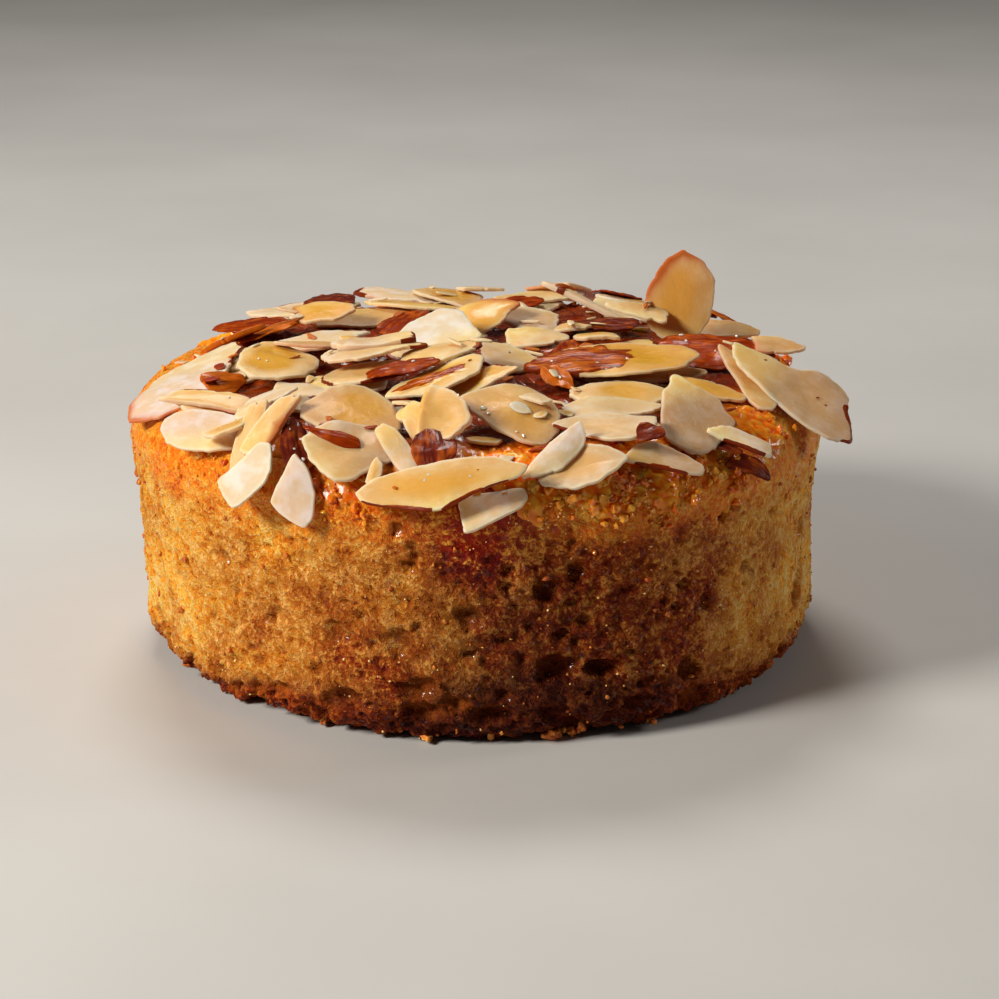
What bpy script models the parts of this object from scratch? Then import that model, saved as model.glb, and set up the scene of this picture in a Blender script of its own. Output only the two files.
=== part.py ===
"""A mini almond cake: a round single-portion sponge with its flaked almonds baked on top.

The sponge stands on its flat base, centred on the origin. The almonds are one heap of
thin flakes held by a shallow layer of glaze. Sizes are in millimetres and are turned into
metres where the meshes are made.
"""

import math
import random

import bmesh
import bpy
import numpy as np
from mathutils import Matrix, Vector, noise

MM = 0.001

# Sponge
BASE_RADIUS = 36.6
CORNER_HEIGHT = 5.6
SIDE_RADIUS = 40.6
CORNER_BULGE = 0.4
LIP_RADIUS = 41.6
WAIST_HEIGHT = 15.0
LIP_HEIGHT = 27.0
SHOULDER_RADIUS = 35.0
SHOULDER_DROP = 5.4
DOME_DROP = 1.5
CROWN_HEIGHT = LIP_HEIGHT + SHOULDER_DROP + DOME_DROP
SPONGE_SEGMENTS = 66
LEFT_FLARE = 1.05
CRUMB_DEPTH = 0.38
CRAG_DEPTH = 1.5
CRAG_TOP = 6.5

# Pores on the side: degrees round from the right, height, width and height of the hole
SIDE_PORES = (
    (-92, 15.5, 2.9, 2.3),
    (-103, 12.6, 3.1, 2.8),
    (-113, 12.7, 2.8, 2.2),
    (-80, 18.4, 2.4, 2.6),
    (-75, 20.2, 2.0, 2.6),
    (-78, 9.4, 4.4, 2.6),
    (-71, 8.9, 3.8, 1.8),
    (-55, 6.8, 3.2, 2.2),
    (-100, 6.9, 3.8, 2.8),
    (-99, 4.2, 5.2, 2.2),
    (-112, 4.8, 4.0, 2.0),
    (-124, 4.4, 3.0, 1.8),
    (-88, 3.6, 4.6, 2.0),
    (-64, 3.8, 3.6, 1.8),
)
PORE_SIDES_LEFT_OVER = 12
PORE_SEED = 41

# Glaze layer under the almonds
GLAZE_RADIUS = 35.2
GLAZE_UNDERSIDE = 0.45
GLAZE_TOP = 1.2
GLAZE_SEGMENTS = 24
GLAZE_RINGS = (0.0, 0.35, 0.62, 0.84, 1.0)

# Almond flakes
FLAKE_THICKNESS = 1.0
CLEAR_OF_SPONGE = 0.5
SINK = 0.5
CONTACT_SHARE = 0.9
CELL = 0.5
REACH = 62.0
FILL_SEED = 23
BACK_LAYER = 16
GAP_FILL = 11
FILL_SHAKE = 5.0
FILL_SIZES = {
    "whole": (15, 9.5),
    "broken": (9.5, 8),
    "stick": (8.5, 3.2),
    "skin": (10, 6.5),
    "chip": (5, 4),
}
FLAKE_DETAIL = {
    "whole": (5, 2),
    "skin": (4, 2),
    "curl": (6, 2),
    "broken": (4, 2),
    "stick": (3, 1),
    "chip": (2, 1),
}

# Flakes in the order they fell: kind, place on the top measured right and back from the
# middle and on down the side, heading of the pointed end, lift of that end, lift of the
# left edge, length, width, bow
FLAKES = (
    ("whole", -14.5, 18.5, 355, 0, 6, 15, 8, 0.5),
    ("skin", -27, 12.5, 10, 12, -6, 11, 8, 0.8),
    ("broken", -19.5, 13.5, 5, 4, 10, 8, 7.5, 0.4),
    ("broken", 6, 14.5, 178, 2, -16, 8, 7.5, 0.4),
    ("broken", 18.5, 22, 350, -6, 12, 9, 7, 0.4),
    ("whole", 24.4, 10, 270, -76, 0, 12.3, 8.7, 0.4),
    ("broken", 31, 15.5, 345, 0, 12, 9, 6, 0.4),
    ("whole", -26.5, -4, 230, -2, 0, 12, 8, 0.4),
    ("broken", -28, -2.5, 215, -9, 0, 9, 6.5, 0.3),
    ("whole", -34.5, -7.5, 222, -13, 6, 20.5, 11.5, 0.7),
    ("stick", -31, 9, 20, 14, -20, 7.5, 3.6, 0.2),
    ("whole", -24.5, -7, 292, -4, -8, 15.5, 11, 0.5),
    ("broken", -20.5, -3, 185, 6, 8, 9, 4.5, 0.3),
    ("whole", -30, -24.5, 335, -14, 6, 12.5, 8.5, 0.6),
    ("stick", -32, -18.5, 352, -20, 6, 6, 3, 0.1),
    ("stick", -31, -18.5, 350, -12, 10, 10.5, 4, 0.2),
    ("chip", -30, -11.5, 30, -8, 30, 5.5, 4, 0.3),
    ("broken", -19.5, -19.5, 340, -4, 6, 11, 7.5, 0.4),
    ("broken", -24.5, -22.5, 20, 14, -10, 8, 6.5, 0.4),
    ("chip", -27.5, -28, 205, 12, 16, 5.5, 4.5, 0.2),
    ("stick", -25.5, -29.5, 60, 24, 6, 9, 3, 0.2),
    ("skin", -20, -33, 95, 12, 30, 9.5, 4.2, 0.7),
    ("whole", -13.5, -35.7, 348, -14, 6, 13.5, 9.5, 0.6),
    ("whole", -13.5, -28, 350, -14, 14, 14.5, 10.5, 0.6),
    ("chip", -16, -34.2, 345, -14, 8, 7, 2.2, 0.3),
    ("stick", -22.5, -30.5, 40, 20, 8, 9, 3.8, 0.2),
    ("broken", -25.8, -32.5, 24, 4, 4, 8.5, 6.2, 0.3),
    ("whole", -21, -37, 84, 10, 4, 9, 5.8, 0.3),
    ("broken", -8, -27, 180, 4, 20, 5, 4.5, 0.4),
    ("curl", -5, -31, 335, 18, 30, 9, 8, 1.7),
    ("stick", -9, -36.8, 300, -16, 8, 8.5, 2.9, 0.2),
    ("chip", -11.5, -38.5, 60, 6, 0, 3.4, 1.6, 0.1),
    ("whole", -6.2, 3, 350, 6, 24, 13.5, 12, 0.6),
    ("broken", 7, 5.5, 355, 2, 12, 8, 5.5, 0.4),
    ("broken", 2.5, -5.5, 178, 8, -12, 10, 9.5, 0.5),
    ("whole", -15.5, -14, 4, -2, 2, 11, 6.5, 0.3),
    ("whole", -12, -12.5, 12, 5, -2, 14, 7.5, 0.4),
    ("whole", -5.5, -11.5, 14, 10, 0, 12.5, 7, 0.4),
    ("skin", -9, -15.5, 8, 8, 2, 9, 5, 0.6),
    ("whole", -12.5, -10.5, 8, 4, -3, 13, 7.5, 0.4),
    ("stick", -12.5, -8.5, 6, 4, 2, 10, 3.6, 0.2),
    ("whole", 4, -27.8, 342, -12, 10, 14, 10.5, 0.7),
    ("broken", 0.5, -17.5, 14, 20, 4, 10, 5.5, 0.5),
    ("whole", -5.5, -19.5, 22, 14, 2, 15, 6.5, 0.5),
    ("chip", 6.5, -26.5, 325, -4, 0, 4, 2.2, 0.1),
    ("whole", 15.3, -23.5, 358, 4, 2, 12.5, 7, 0.4),
    ("whole", 16.3, -17.5, 357, 2, 4, 12.5, 7.5, 0.5),
    ("skin", 9, -14.5, 300, -14, 10, 6, 3.5, 0.3),
    ("broken", 20, -9, 357, 4, 4, 14, 7, 0.3),
    ("whole", 15.7, -10.5, 4, 5, 6, 21, 10, 0.5),
    ("skin", 28.5, 0.5, 352, 2, 12, 15, 10, 1.0),
    ("broken", 36, 1, 0, 4, 12, 6.5, 5.5, 0.3),
    ("broken", 26.5, -14.5, 350, -6, 2, 9.5, 5.5, 0.3),
    ("whole", 30, -9.5, 130, 14, -8, 14, 6.5, 0.4),
    ("whole", 36, -11, 158, 8, -14, 18.8, 10.5, 0.5),
    ("broken", 20, -34.2, 5, 4, -6, 11, 5.8, 0.2),
    ("whole", 13.5, -32, 0, 5, 4, 13.5, 8, 0.5),
    ("chip", 18, -33.5, 20, 24, 6, 4, 4, 0.2),
    ("skin", 25, -27.5, 335, 0, 0, 10, 4.5, 0.3),
    ("whole", 24, -24.4, 104, 22, 6, 13, 9.4, 0.4),
    ("chip", 30.5, -29, 10, 14, -8, 5.5, 3.2, 0.3),
    ("stick", 29, -27.6, 350, 8, 0, 7, 3, 0.2),
    ("whole", 11.5, -37.5, 10, 14, 0, 11.5, 7.4, 0.9),
    ("stick", 8, -37.5, 48, 18, 10, 9.5, 3.1, 0.2),
    ("skin", -5, -37.5, 275, -4, 0, 8, 5.5, 0.2),
    ("broken", 1, -42, 200, 6, 24, 8.8, 5.8, 0.2),
    ("whole", -4.3, -41, 4, 7, -8, 19.5, 8, 0.6),
    ("chip", 0.5, -32.5, 350, 2, 0, 4.2, 1.8, 0.1),
    ("broken", 1, 12.5, 10, 16, 20, 8.5, 7.5, 1.0),
    ("stick", 14, 18, 160, 20, 10, 14, 3.2, 0.2),
    ("broken", 19.5, 8, 178, 6, -16, 9, 4.5, 0.3),
)


def profile_points():
    """Radius and height down the outside, from the middle of the top to the base."""
    points = []
    for step in range(24):
        radius = SHOULDER_RADIUS * step / 24
        points.append((radius, CROWN_HEIGHT - DOME_DROP * (radius / SHOULDER_RADIUS) ** 2))
    for step in range(12):
        turn = math.radians(90 * step / 12)
        radius = SHOULDER_RADIUS + (LIP_RADIUS - SHOULDER_RADIUS) * math.sin(turn)
        points.append((radius, LIP_HEIGHT + SHOULDER_DROP * math.cos(turn)))
    for step in range(14):
        height = LIP_HEIGHT + (CORNER_HEIGHT - LIP_HEIGHT) * step / 14
        if height > WAIST_HEIGHT:
            share = (height - WAIST_HEIGHT) / (LIP_HEIGHT - WAIST_HEIGHT)
            radius = SIDE_RADIUS + (LIP_RADIUS - SIDE_RADIUS) * share * share
        else:
            share = (WAIST_HEIGHT - height) / (WAIST_HEIGHT - CORNER_HEIGHT)
            radius = SIDE_RADIUS + CORNER_BULGE * share * share
        points.append((radius, height))
    corner_radius = SIDE_RADIUS + CORNER_BULGE
    for step in range(9):
        turn = math.radians(90 - 90 * step / 8)
        radius = BASE_RADIUS + (corner_radius - BASE_RADIUS) * math.sin(turn)
        points.append((radius, CORNER_HEIGHT - CORNER_HEIGHT * math.cos(turn)))
    return np.array(points)


PROFILE = profile_points()
ALONG_PROFILE = np.concatenate([[0.0], np.cumsum(np.hypot(*np.diff(PROFILE, axis=0).T))])


def on_surface(right, back):
    """Point, outward normal and tilt of the surface, by distance over it from the middle."""
    distance = math.hypot(right, back)
    angle = math.atan2(back, right)
    index = int(np.clip(np.searchsorted(ALONG_PROFILE, distance) - 1, 0, len(PROFILE) - 2))
    step = PROFILE[index + 1] - PROFILE[index]
    length = float(np.hypot(*step))
    radius, height = PROFILE[index] + step * (distance - ALONG_PROFILE[index]) / length
    outward, upward = -step[1] / length, step[0] / length
    point = Vector((radius * math.cos(angle), radius * math.sin(angle), height))
    normal = Vector((outward * math.cos(angle), outward * math.sin(angle), upward))
    return point, normal


def over_surface(points):
    """Place over the surface and height above it, for points round the cake."""
    radius = np.hypot(points[:, 0], points[:, 1])
    flat = np.stack([radius, points[:, 2]], axis=1)
    starts = PROFILE[:-1]
    steps = PROFILE[1:] - starts
    lengths = np.hypot(steps[:, 0], steps[:, 1])
    share = ((flat[:, None] - starts) * steps).sum(axis=2) / lengths**2
    share = np.clip(share, 0, 1)
    gap = flat[:, None] - (starts + steps * share[..., None])
    distance = np.hypot(gap[..., 0], gap[..., 1])
    nearest = distance.argmin(axis=1)
    rows = np.arange(len(points))
    side = gap[rows, nearest] * np.stack([-steps[nearest, 1], steps[nearest, 0]], axis=1)
    height = np.where(side.sum(axis=1) >= 0, 1, -1) * distance[rows, nearest]
    along = ALONG_PROFILE[nearest] + share[rows, nearest] * lengths[nearest]
    radius = np.maximum(radius, 1e-6)
    right = along * points[:, 0] / radius
    back = along * points[:, 1] / radius
    return right, back, height


def finished_mesh(obj):
    """The object's mesh with its modifiers worked in and cleared."""
    graph = bpy.context.evaluated_depsgraph_get()
    mesh = bpy.data.meshes.new_from_object(obj.evaluated_get(graph))
    obj.modifiers.clear()
    old = obj.data
    obj.data = mesh
    bpy.data.meshes.remove(old)
    return mesh


def turned_body(name, profile, segments):
    """A solid of revolution: the profile runs down the outside, top to bottom."""
    edges = [(i, i + 1) for i in range(len(profile) - 1)]
    mesh = bpy.data.meshes.new(name)
    mesh.from_pydata([(r * MM, 0.0, z * MM) for r, z in profile], edges, [])
    body = bpy.data.objects.new(name, mesh)
    cake.objects.link(body)
    turning = body.modifiers.new("turning", "SCREW")
    turning.axis = "Z"
    turning.steps = segments
    turning.render_steps = segments
    turning.use_merge_vertices = True
    turning.merge_threshold = 0.00001
    turning.use_normal_calculate = True
    finished_mesh(body)
    return body


def plain_material(name, colour, roughness):
    material = bpy.data.materials.new(name)
    material.use_nodes = True
    shader = material.node_tree.nodes["Principled BSDF"]
    shader.inputs["Base Color"].default_value = (*colour, 1.0)
    shader.inputs["Roughness"].default_value = roughness
    return material


for old_object in list(bpy.data.objects):
    bpy.data.objects.remove(old_object)
cake = bpy.data.collections.new("mini_almond_cake")
cutters = bpy.data.collections.new("pore_cutters")
bpy.context.scene.collection.children.link(cake)
bpy.context.scene.collection.children.link(cutters)


# Sponge: the turned body
sponge_profile = [(0.0, CROWN_HEIGHT)]
for distance in (9, 18, 26, 31, 34, 36, 37.6, 39, 40.4, 41.8, 43.2):
    spot, facing = on_surface(distance, 0)
    sponge_profile.append((spot.x, spot.z))
for height in (26, 24, 22, 20, 18, 16, 14, 12, 10, 8.2, 6.6, 5.2, 3.9, 2.7, 1.6, 0.8):
    radius = float(np.interp(-height, -PROFILE[30:, 1], PROFILE[30:, 0]))
    sponge_profile.append((radius, height))
sponge_profile += [(BASE_RADIUS, 0.0), (24.0, 0.0), (0.0, 0.0)]
sponge = turned_body("sponge", sponge_profile, SPONGE_SEGMENTS)


# Sponge: its flare, crumb and crags
def crumb_relief(point, z):
    """How far the baked surface stands out from the turned form, in millimetres."""
    fine = noise.fractal(point * 0.34, 1.0, 2.0, 3)
    broad = noise.noise(point * 0.075 + Vector((9.0, 2.0, 4.0)))
    side = min(max((LIP_HEIGHT + 3.0 - z) / 6.0, 0.0), 1.0)
    crag = min(max((CRAG_TOP - z) / 4.0, 0.0), 1.0)
    rough = noise.fractal(point * 0.42 + Vector((3.0, 7.0, 1.0)), 1.0, 2.0, 2)
    relief = side * (CRUMB_DEPTH * fine + 0.5 * broad - 0.1)
    relief += crag * (CRAG_DEPTH * rough - 0.15)
    relief += (1.0 - side) * (0.12 * fine - 0.12)
    return relief


for vertex in sponge.data.vertices:
    place = vertex.co / MM
    radius = math.hypot(place.x, place.y)
    if radius < 1.0 or (place.z < 0.01 and radius < BASE_RADIUS - 1.0):
        continue
    outward = Vector((place.x, place.y, 0.0)) / radius
    facing_left = max(0.0, -outward.x) ** 2
    lip = min(max((place.z - CORNER_HEIGHT) / 12.0, 0.0), 1.0)
    flare = LEFT_FLARE * facing_left * lip * min(radius / SHOULDER_RADIUS, 1.0) ** 8
    relief = crumb_relief(place, place.z)
    if radius < SHOULDER_RADIUS + 2.0 and place.z > LIP_HEIGHT:
        place.z += relief
    else:
        place += outward * (relief + flare)
    vertex.co = place * MM


# Sponge: the open pores and the gaps between crags
random_pore = random.Random(PORE_SEED)
pores = list(SIDE_PORES)
while len(pores) < len(SIDE_PORES) + PORE_SIDES_LEFT_OVER:
    azimuth = random_pore.uniform(-35, 215)
    height = random_pore.uniform(3.5, 21)
    width = random_pore.uniform(2.2, 4.2)
    near = [p for p in pores if abs(p[0] - azimuth) < 7 and abs(p[1] - height) < 4]
    if not near:
        pores.append((azimuth, height, width, width * random_pore.uniform(0.5, 0.8)))
for number, (azimuth, height, width, tall) in enumerate(pores):
    angle = math.radians(azimuth)
    radius = float(np.interp(-height, -PROFILE[30:, 1], PROFILE[30:, 0]))
    bpy.ops.mesh.primitive_ico_sphere_add(subdivisions=1, radius=MM)
    pore = bpy.context.object
    pore.name = f"pore_{number:02d}"
    pore.scale = (1.7, width / 2 * 1.12, tall / 2 * 1.12)
    pore.rotation_euler = (random_pore.uniform(-0.5, 0.5), 0.0, angle)
    pore.location = Vector((math.cos(angle), math.sin(angle), height / radius)) * radius * MM
    for vertex in pore.data.vertices:
        vertex.co *= random_pore.uniform(0.86, 1.12)
    for holder in list(pore.users_collection):
        holder.objects.unlink(pore)
    cutters.objects.link(pore)
    pore.hide_render = True
    pore.display_type = "WIRE"
pitting = sponge.modifiers.new("pores", "BOOLEAN")
pitting.operation = "DIFFERENCE"
pitting.operand_type = "COLLECTION"
pitting.collection = cutters
pitting.solver = "EXACT"
sponge.data.materials.append(plain_material("baked_sponge", (0.42, 0.17, 0.035), 0.7))
finished_mesh(sponge)
sponge.data.shade_smooth()
sponge.data.set_sharp_from_angle(angle=math.radians(35))
for pore in list(cutters.objects):
    bpy.data.objects.remove(pore)
bpy.data.collections.remove(cutters)


# Almond heap: the shape of one flake
def flake_surface(kind, length, width, bow, draw, share, side):
    """Middle plane of a flake, pointed end towards +X. share runs from 0 at the other end
    to 1 at the point, side from -1 at the right edge to 1 at the left."""
    left_share, right_share = draw.uniform(0.9, 1.08), draw.uniform(0.9, 1.08)
    jag = [draw.uniform(-1, 1) for _ in range(3)]
    t = 0.02 + 0.965 * (0.5 - 0.5 * np.cos(np.pi * share))
    slant = np.zeros_like(t)
    if kind in ("whole", "skin", "curl"):
        half = (t / 0.42) ** 0.5 * ((1 - t) / 0.58) ** 0.72
    elif kind == "broken":
        inner = 0.3 + 0.685 * t
        half = (inner / 0.42) ** 0.5 * ((1 - inner) / 0.58) ** 0.72
        slant = 0.16 * length * (1 - t) ** 2 * jag[0]
    elif kind == "stick":
        half = 1.0 - 0.35 * np.abs(2 * t - 1) ** 3
        slant = 0.35 * width * ((1 - t) ** 3 * jag[0] + t**3 * jag[1])
    else:
        half = 0.72 + 0.28 * np.sin(np.pi * t) + 0.12 * np.sin(5 * t + 3 * jag[2])
        slant = 0.3 * width * ((1 - t) ** 2 * jag[0] + t**2 * jag[1])
    x = length * (t - 0.5) + slant * side
    if kind == "broken":
        ragged = 0.05 * length * np.sin(4.2 * side + 3 * jag[1])
        x += np.where(share < 0.001, ragged, 0.0)
    y = side * half * width / 2 * np.where(side > 0, left_share, right_share)
    z = bow * (1 - (2 * t - 1) ** 2) * 0.6 - bow * 0.5 * side**2 * half
    return np.stack([x, y, z], axis=-1)


# Almond heap: how a flake comes to rest
cells = int(2 * REACH / CELL)
pile = np.full((cells, cells), GLAZE_TOP - SINK)
FINE_SHARE = np.repeat(np.arange(25) / 24, 15)
FINE_SIDE = np.tile(np.arange(15) / 7 - 1, 25)
grid_axis = (np.arange(cells) + 0.5) * CELL - REACH
over_right, over_back = np.meshgrid(grid_axis, grid_axis, indexing="ij")
over_angle = np.arctan2(over_back, over_right)
glaze_edge = GLAZE_RADIUS + 0.8 * np.sin(3 * over_angle + 1.0) + 0.5 * np.sin(7 * over_angle)
pile[np.hypot(over_right, over_back) > glaze_edge] = CLEAR_OF_SPONGE
floor_of_pile = np.full((cells, cells), CLEAR_OF_SPONGE)
covered = np.zeros((cells, cells), bool)


def cell_of(right, back):
    i = np.clip(((right + REACH) / CELL).astype(int), 0, cells - 1)
    j = np.clip(((back + REACH) / CELL).astype(int), 0, cells - 1)
    return i, j


def turned(right, back, heading, lift, roll):
    """Centre on the surface, its normal, and the flake's axes there."""
    point, normal = on_surface(right, back)
    lean = Vector((0, 0, 1)).rotation_difference(normal).to_matrix()
    turn = Matrix.Rotation(math.radians(heading), 3, "Z")
    pitch = Matrix.Rotation(math.radians(-lift), 3, "Y")
    tip = Matrix.Rotation(math.radians(roll), 3, "X")
    return point, normal, np.array(lean @ turn @ pitch @ tip)


def resting_place(kind, right, back, heading, lift, roll, length, width, bow, draw):
    """Where the flake rests: its axes, its centre, its fine points and how high it lies."""
    point, normal, axes = turned(right, back, heading, lift, roll)
    fine = flake_surface(kind, length, width, bow, draw, FINE_SHARE, FINE_SIDE) @ axes.T
    normal = np.array(normal)
    rise = 0.5
    for _ in range(4):
        over = over_surface(fine + np.array(point) + normal * rise)
        i, j = cell_of(over[0], over[1])
        lowest = over[2] - FLAKE_THICKNESS / 2
        gap = np.sort(pile[i, j] - lowest)
        needed = gap[int(CONTACT_SHARE * (len(gap) - 1))]
        rise += max(needed, float((floor_of_pile[i, j] - lowest).max()))
    return axes, np.array(point) + normal * rise, fine, rise


def heap_up(points):
    """Raises the pile by a flake that has come to rest."""
    over = over_surface(points)
    i, j = cell_of(over[0], over[1])
    np.maximum.at(pile, (i, j), over[2] + FLAKE_THICKNESS / 2 - SINK)
    covered[i, j] = True


def slope_under(right, back, heading, reach):
    """Lift and roll of a flake that settles flat on what is already there."""
    near = (over_right - right) ** 2 + (over_back - back) ** 2 < reach**2
    sample = np.stack([over_right[near] - right, over_back[near] - back], axis=1)
    columns = np.c_[sample, np.ones(len(sample))]
    slope = np.linalg.lstsq(columns, pile[near], rcond=None)[0]
    turn = math.radians(heading)
    ahead = slope[0] * math.cos(turn) + slope[1] * math.sin(turn)
    left = -slope[0] * math.sin(turn) + slope[1] * math.cos(turn)
    limit = math.radians(16)
    lift = min(max(math.atan(ahead), -limit), limit)
    roll = min(max(math.atan(left), -limit), limit)
    return math.degrees(lift), math.degrees(roll)


heap_parts = bpy.data.collections.new("heap_parts")
bpy.context.scene.collection.children.link(heap_parts)
draw = random.Random(FILL_SEED)
placed = 0


def add_flake(row, highest=99.0):
    """Lays one flake on the heap, unless it would lie too high."""
    global placed
    kind, right, back, heading, lift, roll, length, width, bow = row
    seed = 1000 + placed
    axes, centre, fine, rise = resting_place(*row, random.Random(seed))
    if rise > highest:
        return False
    heap_up(fine + centre)
    along, across = FLAKE_DETAIL[kind]
    shape = bmesh.new()
    bmesh.ops.create_grid(shape, x_segments=along, y_segments=across, size=1.0)
    plan = np.array([vertex.co[:2] for vertex in shape.verts])
    share = np.clip(plan[:, 0] / 2 + 0.5, 0, 1)
    draw_again = random.Random(seed)
    flat = flake_surface(kind, length, width, bow, draw_again, share, plan[:, 1])
    for vertex, place in zip(shape.verts, flat @ axes.T + centre):
        vertex.co = Vector(place) * MM
    mesh = bpy.data.meshes.new(f"flake_{placed:03d}")
    shape.to_mesh(mesh)
    shape.free()
    flake = bpy.data.objects.new(mesh.name, mesh)
    heap_parts.objects.link(flake)
    slab = flake.modifiers.new("thickness", "SOLIDIFY")
    slab.thickness = FLAKE_THICKNESS * MM
    slab.offset = 0.0
    placed += 1
    return True


def scatter(count, inner, outer, first, last, room, kinds, highest):
    """Flakes that settle by rule where the top is still bare."""
    laid = 0
    for _ in range(80 * count):
        distance = math.sqrt(draw.uniform(inner**2, outer**2))
        angle = math.radians(draw.uniform(first, last))
        right, back = distance * math.cos(angle), distance * math.sin(angle)
        heading = draw.uniform(0, 360)
        kind = draw.choice(kinds)
        if distance > 27 + 0.5 * back:
            continue
        near = (over_right - right) ** 2 + (over_back - back) ** 2 < room**2
        if covered[near].mean() > 0.4:
            continue
        size = draw.uniform(0.85, 1.15)
        length, width = FILL_SIZES[kind]
        lift, roll = slope_under(right, back, heading, 4.5)
        lift += draw.uniform(-FILL_SHAKE, FILL_SHAKE)
        roll += draw.uniform(-FILL_SHAKE, FILL_SHAKE)
        row = (kind, right, back, heading, lift, roll, length * size, width * size, 0.4)
        laid += add_flake(row, highest)
        if laid == count:
            break


for row in FLAKES:
    add_flake(row)
scatter(BACK_LAYER, 0, 36.5, 0, 180, 4.5, ("whole", "whole", "broken", "skin"), 1.8)
scatter(GAP_FILL, 6, 38, -40, 225, 3.0, ("broken", "stick", "chip", "skin"), 2.2)


# Almond heap: the glaze layer that holds the flakes
glaze_profile = []
for above, shares in ((GLAZE_TOP, GLAZE_RINGS), (GLAZE_UNDERSIDE, GLAZE_RINGS[::-1])):
    for share in shares:
        spot, facing = on_surface(GLAZE_RADIUS * share, 0)
        spot += facing * above
        glaze_profile.append((spot.x if share else 0.0, spot.z))
almonds = turned_body("almond_topping", glaze_profile, GLAZE_SEGMENTS)
for vertex in almonds.data.vertices:
    over = over_surface(np.array([vertex.co / MM]))
    right, back, above = (float(part[0]) for part in over)
    angle = math.atan2(back, right)
    wave = GLAZE_RADIUS + 0.8 * math.sin(3 * angle + 1.0) + 0.5 * math.sin(7 * angle)
    spot, facing = on_surface(right * wave / GLAZE_RADIUS, back * wave / GLAZE_RADIUS)
    vertex.co = (spot + facing * above) * MM
for part in heap_parts.objects:
    finished_mesh(part)
for part in list(heap_parts.objects) + [almonds]:
    shape = bmesh.new()
    shape.from_mesh(part.data)
    bmesh.ops.recalc_face_normals(shape, faces=shape.faces)
    bmesh.ops.triangulate(shape, faces=shape.faces)
    shape.to_mesh(part.data)
    shape.free()
joining = almonds.modifiers.new("fused", "BOOLEAN")
joining.operation = "UNION"
joining.operand_type = "COLLECTION"
joining.collection = heap_parts
joining.solver = "MANIFOLD"
finished_mesh(almonds)
for part in list(heap_parts.objects):
    bpy.data.objects.remove(part)
bpy.data.collections.remove(heap_parts)


# Almond heap: sealed hollows are filled and loose scraps dropped
def shells_of(shape):
    left = set(shape.faces)
    while left:
        stack = [left.pop()]
        shell = []
        while stack:
            face = stack.pop()
            shell.append(face)
            for edge in face.edges:
                for other in edge.link_faces:
                    if other in left:
                        left.remove(other)
                        stack.append(other)
        yield shell


shape = bmesh.new()
shape.from_mesh(almonds.data)
shells = sorted(shells_of(shape), key=len, reverse=True)
for shell in shells[1:]:
    bmesh.ops.delete(shape, geom=shell, context="FACES")
loose = [v for v in shape.verts if not v.link_faces]
bmesh.ops.delete(shape, geom=loose, context="VERTS")
shape.to_mesh(almonds.data)
shape.free()
almonds.data.materials.clear()
almonds.data.materials.append(plain_material("flaked_almonds", (0.78, 0.58, 0.34), 0.45))
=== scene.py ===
"""A mini almond cake: a small round sponge, browned and glazed on top, with its flaked
almonds. Lengths are in millimetres and become metres where a mesh is made."""

import math
import random

import bmesh
import bpy
import numpy as np
from mathutils import Matrix, Vector, noise
from mathutils.bvhtree import BVHTree


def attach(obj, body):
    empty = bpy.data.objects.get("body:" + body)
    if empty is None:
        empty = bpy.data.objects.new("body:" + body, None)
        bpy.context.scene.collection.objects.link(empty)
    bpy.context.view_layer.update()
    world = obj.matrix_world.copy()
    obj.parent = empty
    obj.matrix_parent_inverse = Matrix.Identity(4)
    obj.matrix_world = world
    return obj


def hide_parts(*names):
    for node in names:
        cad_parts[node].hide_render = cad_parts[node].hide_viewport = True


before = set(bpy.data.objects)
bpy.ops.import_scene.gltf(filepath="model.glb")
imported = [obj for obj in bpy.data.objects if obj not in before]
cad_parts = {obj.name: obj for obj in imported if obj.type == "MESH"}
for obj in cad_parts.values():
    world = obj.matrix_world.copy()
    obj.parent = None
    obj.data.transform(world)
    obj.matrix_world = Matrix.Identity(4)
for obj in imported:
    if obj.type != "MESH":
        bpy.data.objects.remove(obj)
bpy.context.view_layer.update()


# Sponge form
# One small round cake, baked in a ring until its top rose to a low dome, rounded over at
# the rim and leaned out a little at the left. All the toppings are laid out on this form.
MM = 0.001
BASE_RADIUS = 36.6
CORNER_HEIGHT = 5.6
SIDE_RADIUS = 40.6
CORNER_BULGE = 0.4
LIP_RADIUS = 41.6
WAIST_HEIGHT = 15.0
LIP_HEIGHT = 27.0
SHOULDER_RADIUS = 35.0
SHOULDER_DROP = 5.4
DOME_DROP = 1.5
CROWN_HEIGHT = LIP_HEIGHT + SHOULDER_DROP + DOME_DROP
LEFT_FLARE = 1.05
FLARE_RISE = 12.0
FLARE_RUN = 5
DOME_ROWS = 24
SHOULDER_ROWS = 12
SIDE_ROWS = 14
CORNER_ROWS = 8


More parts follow.
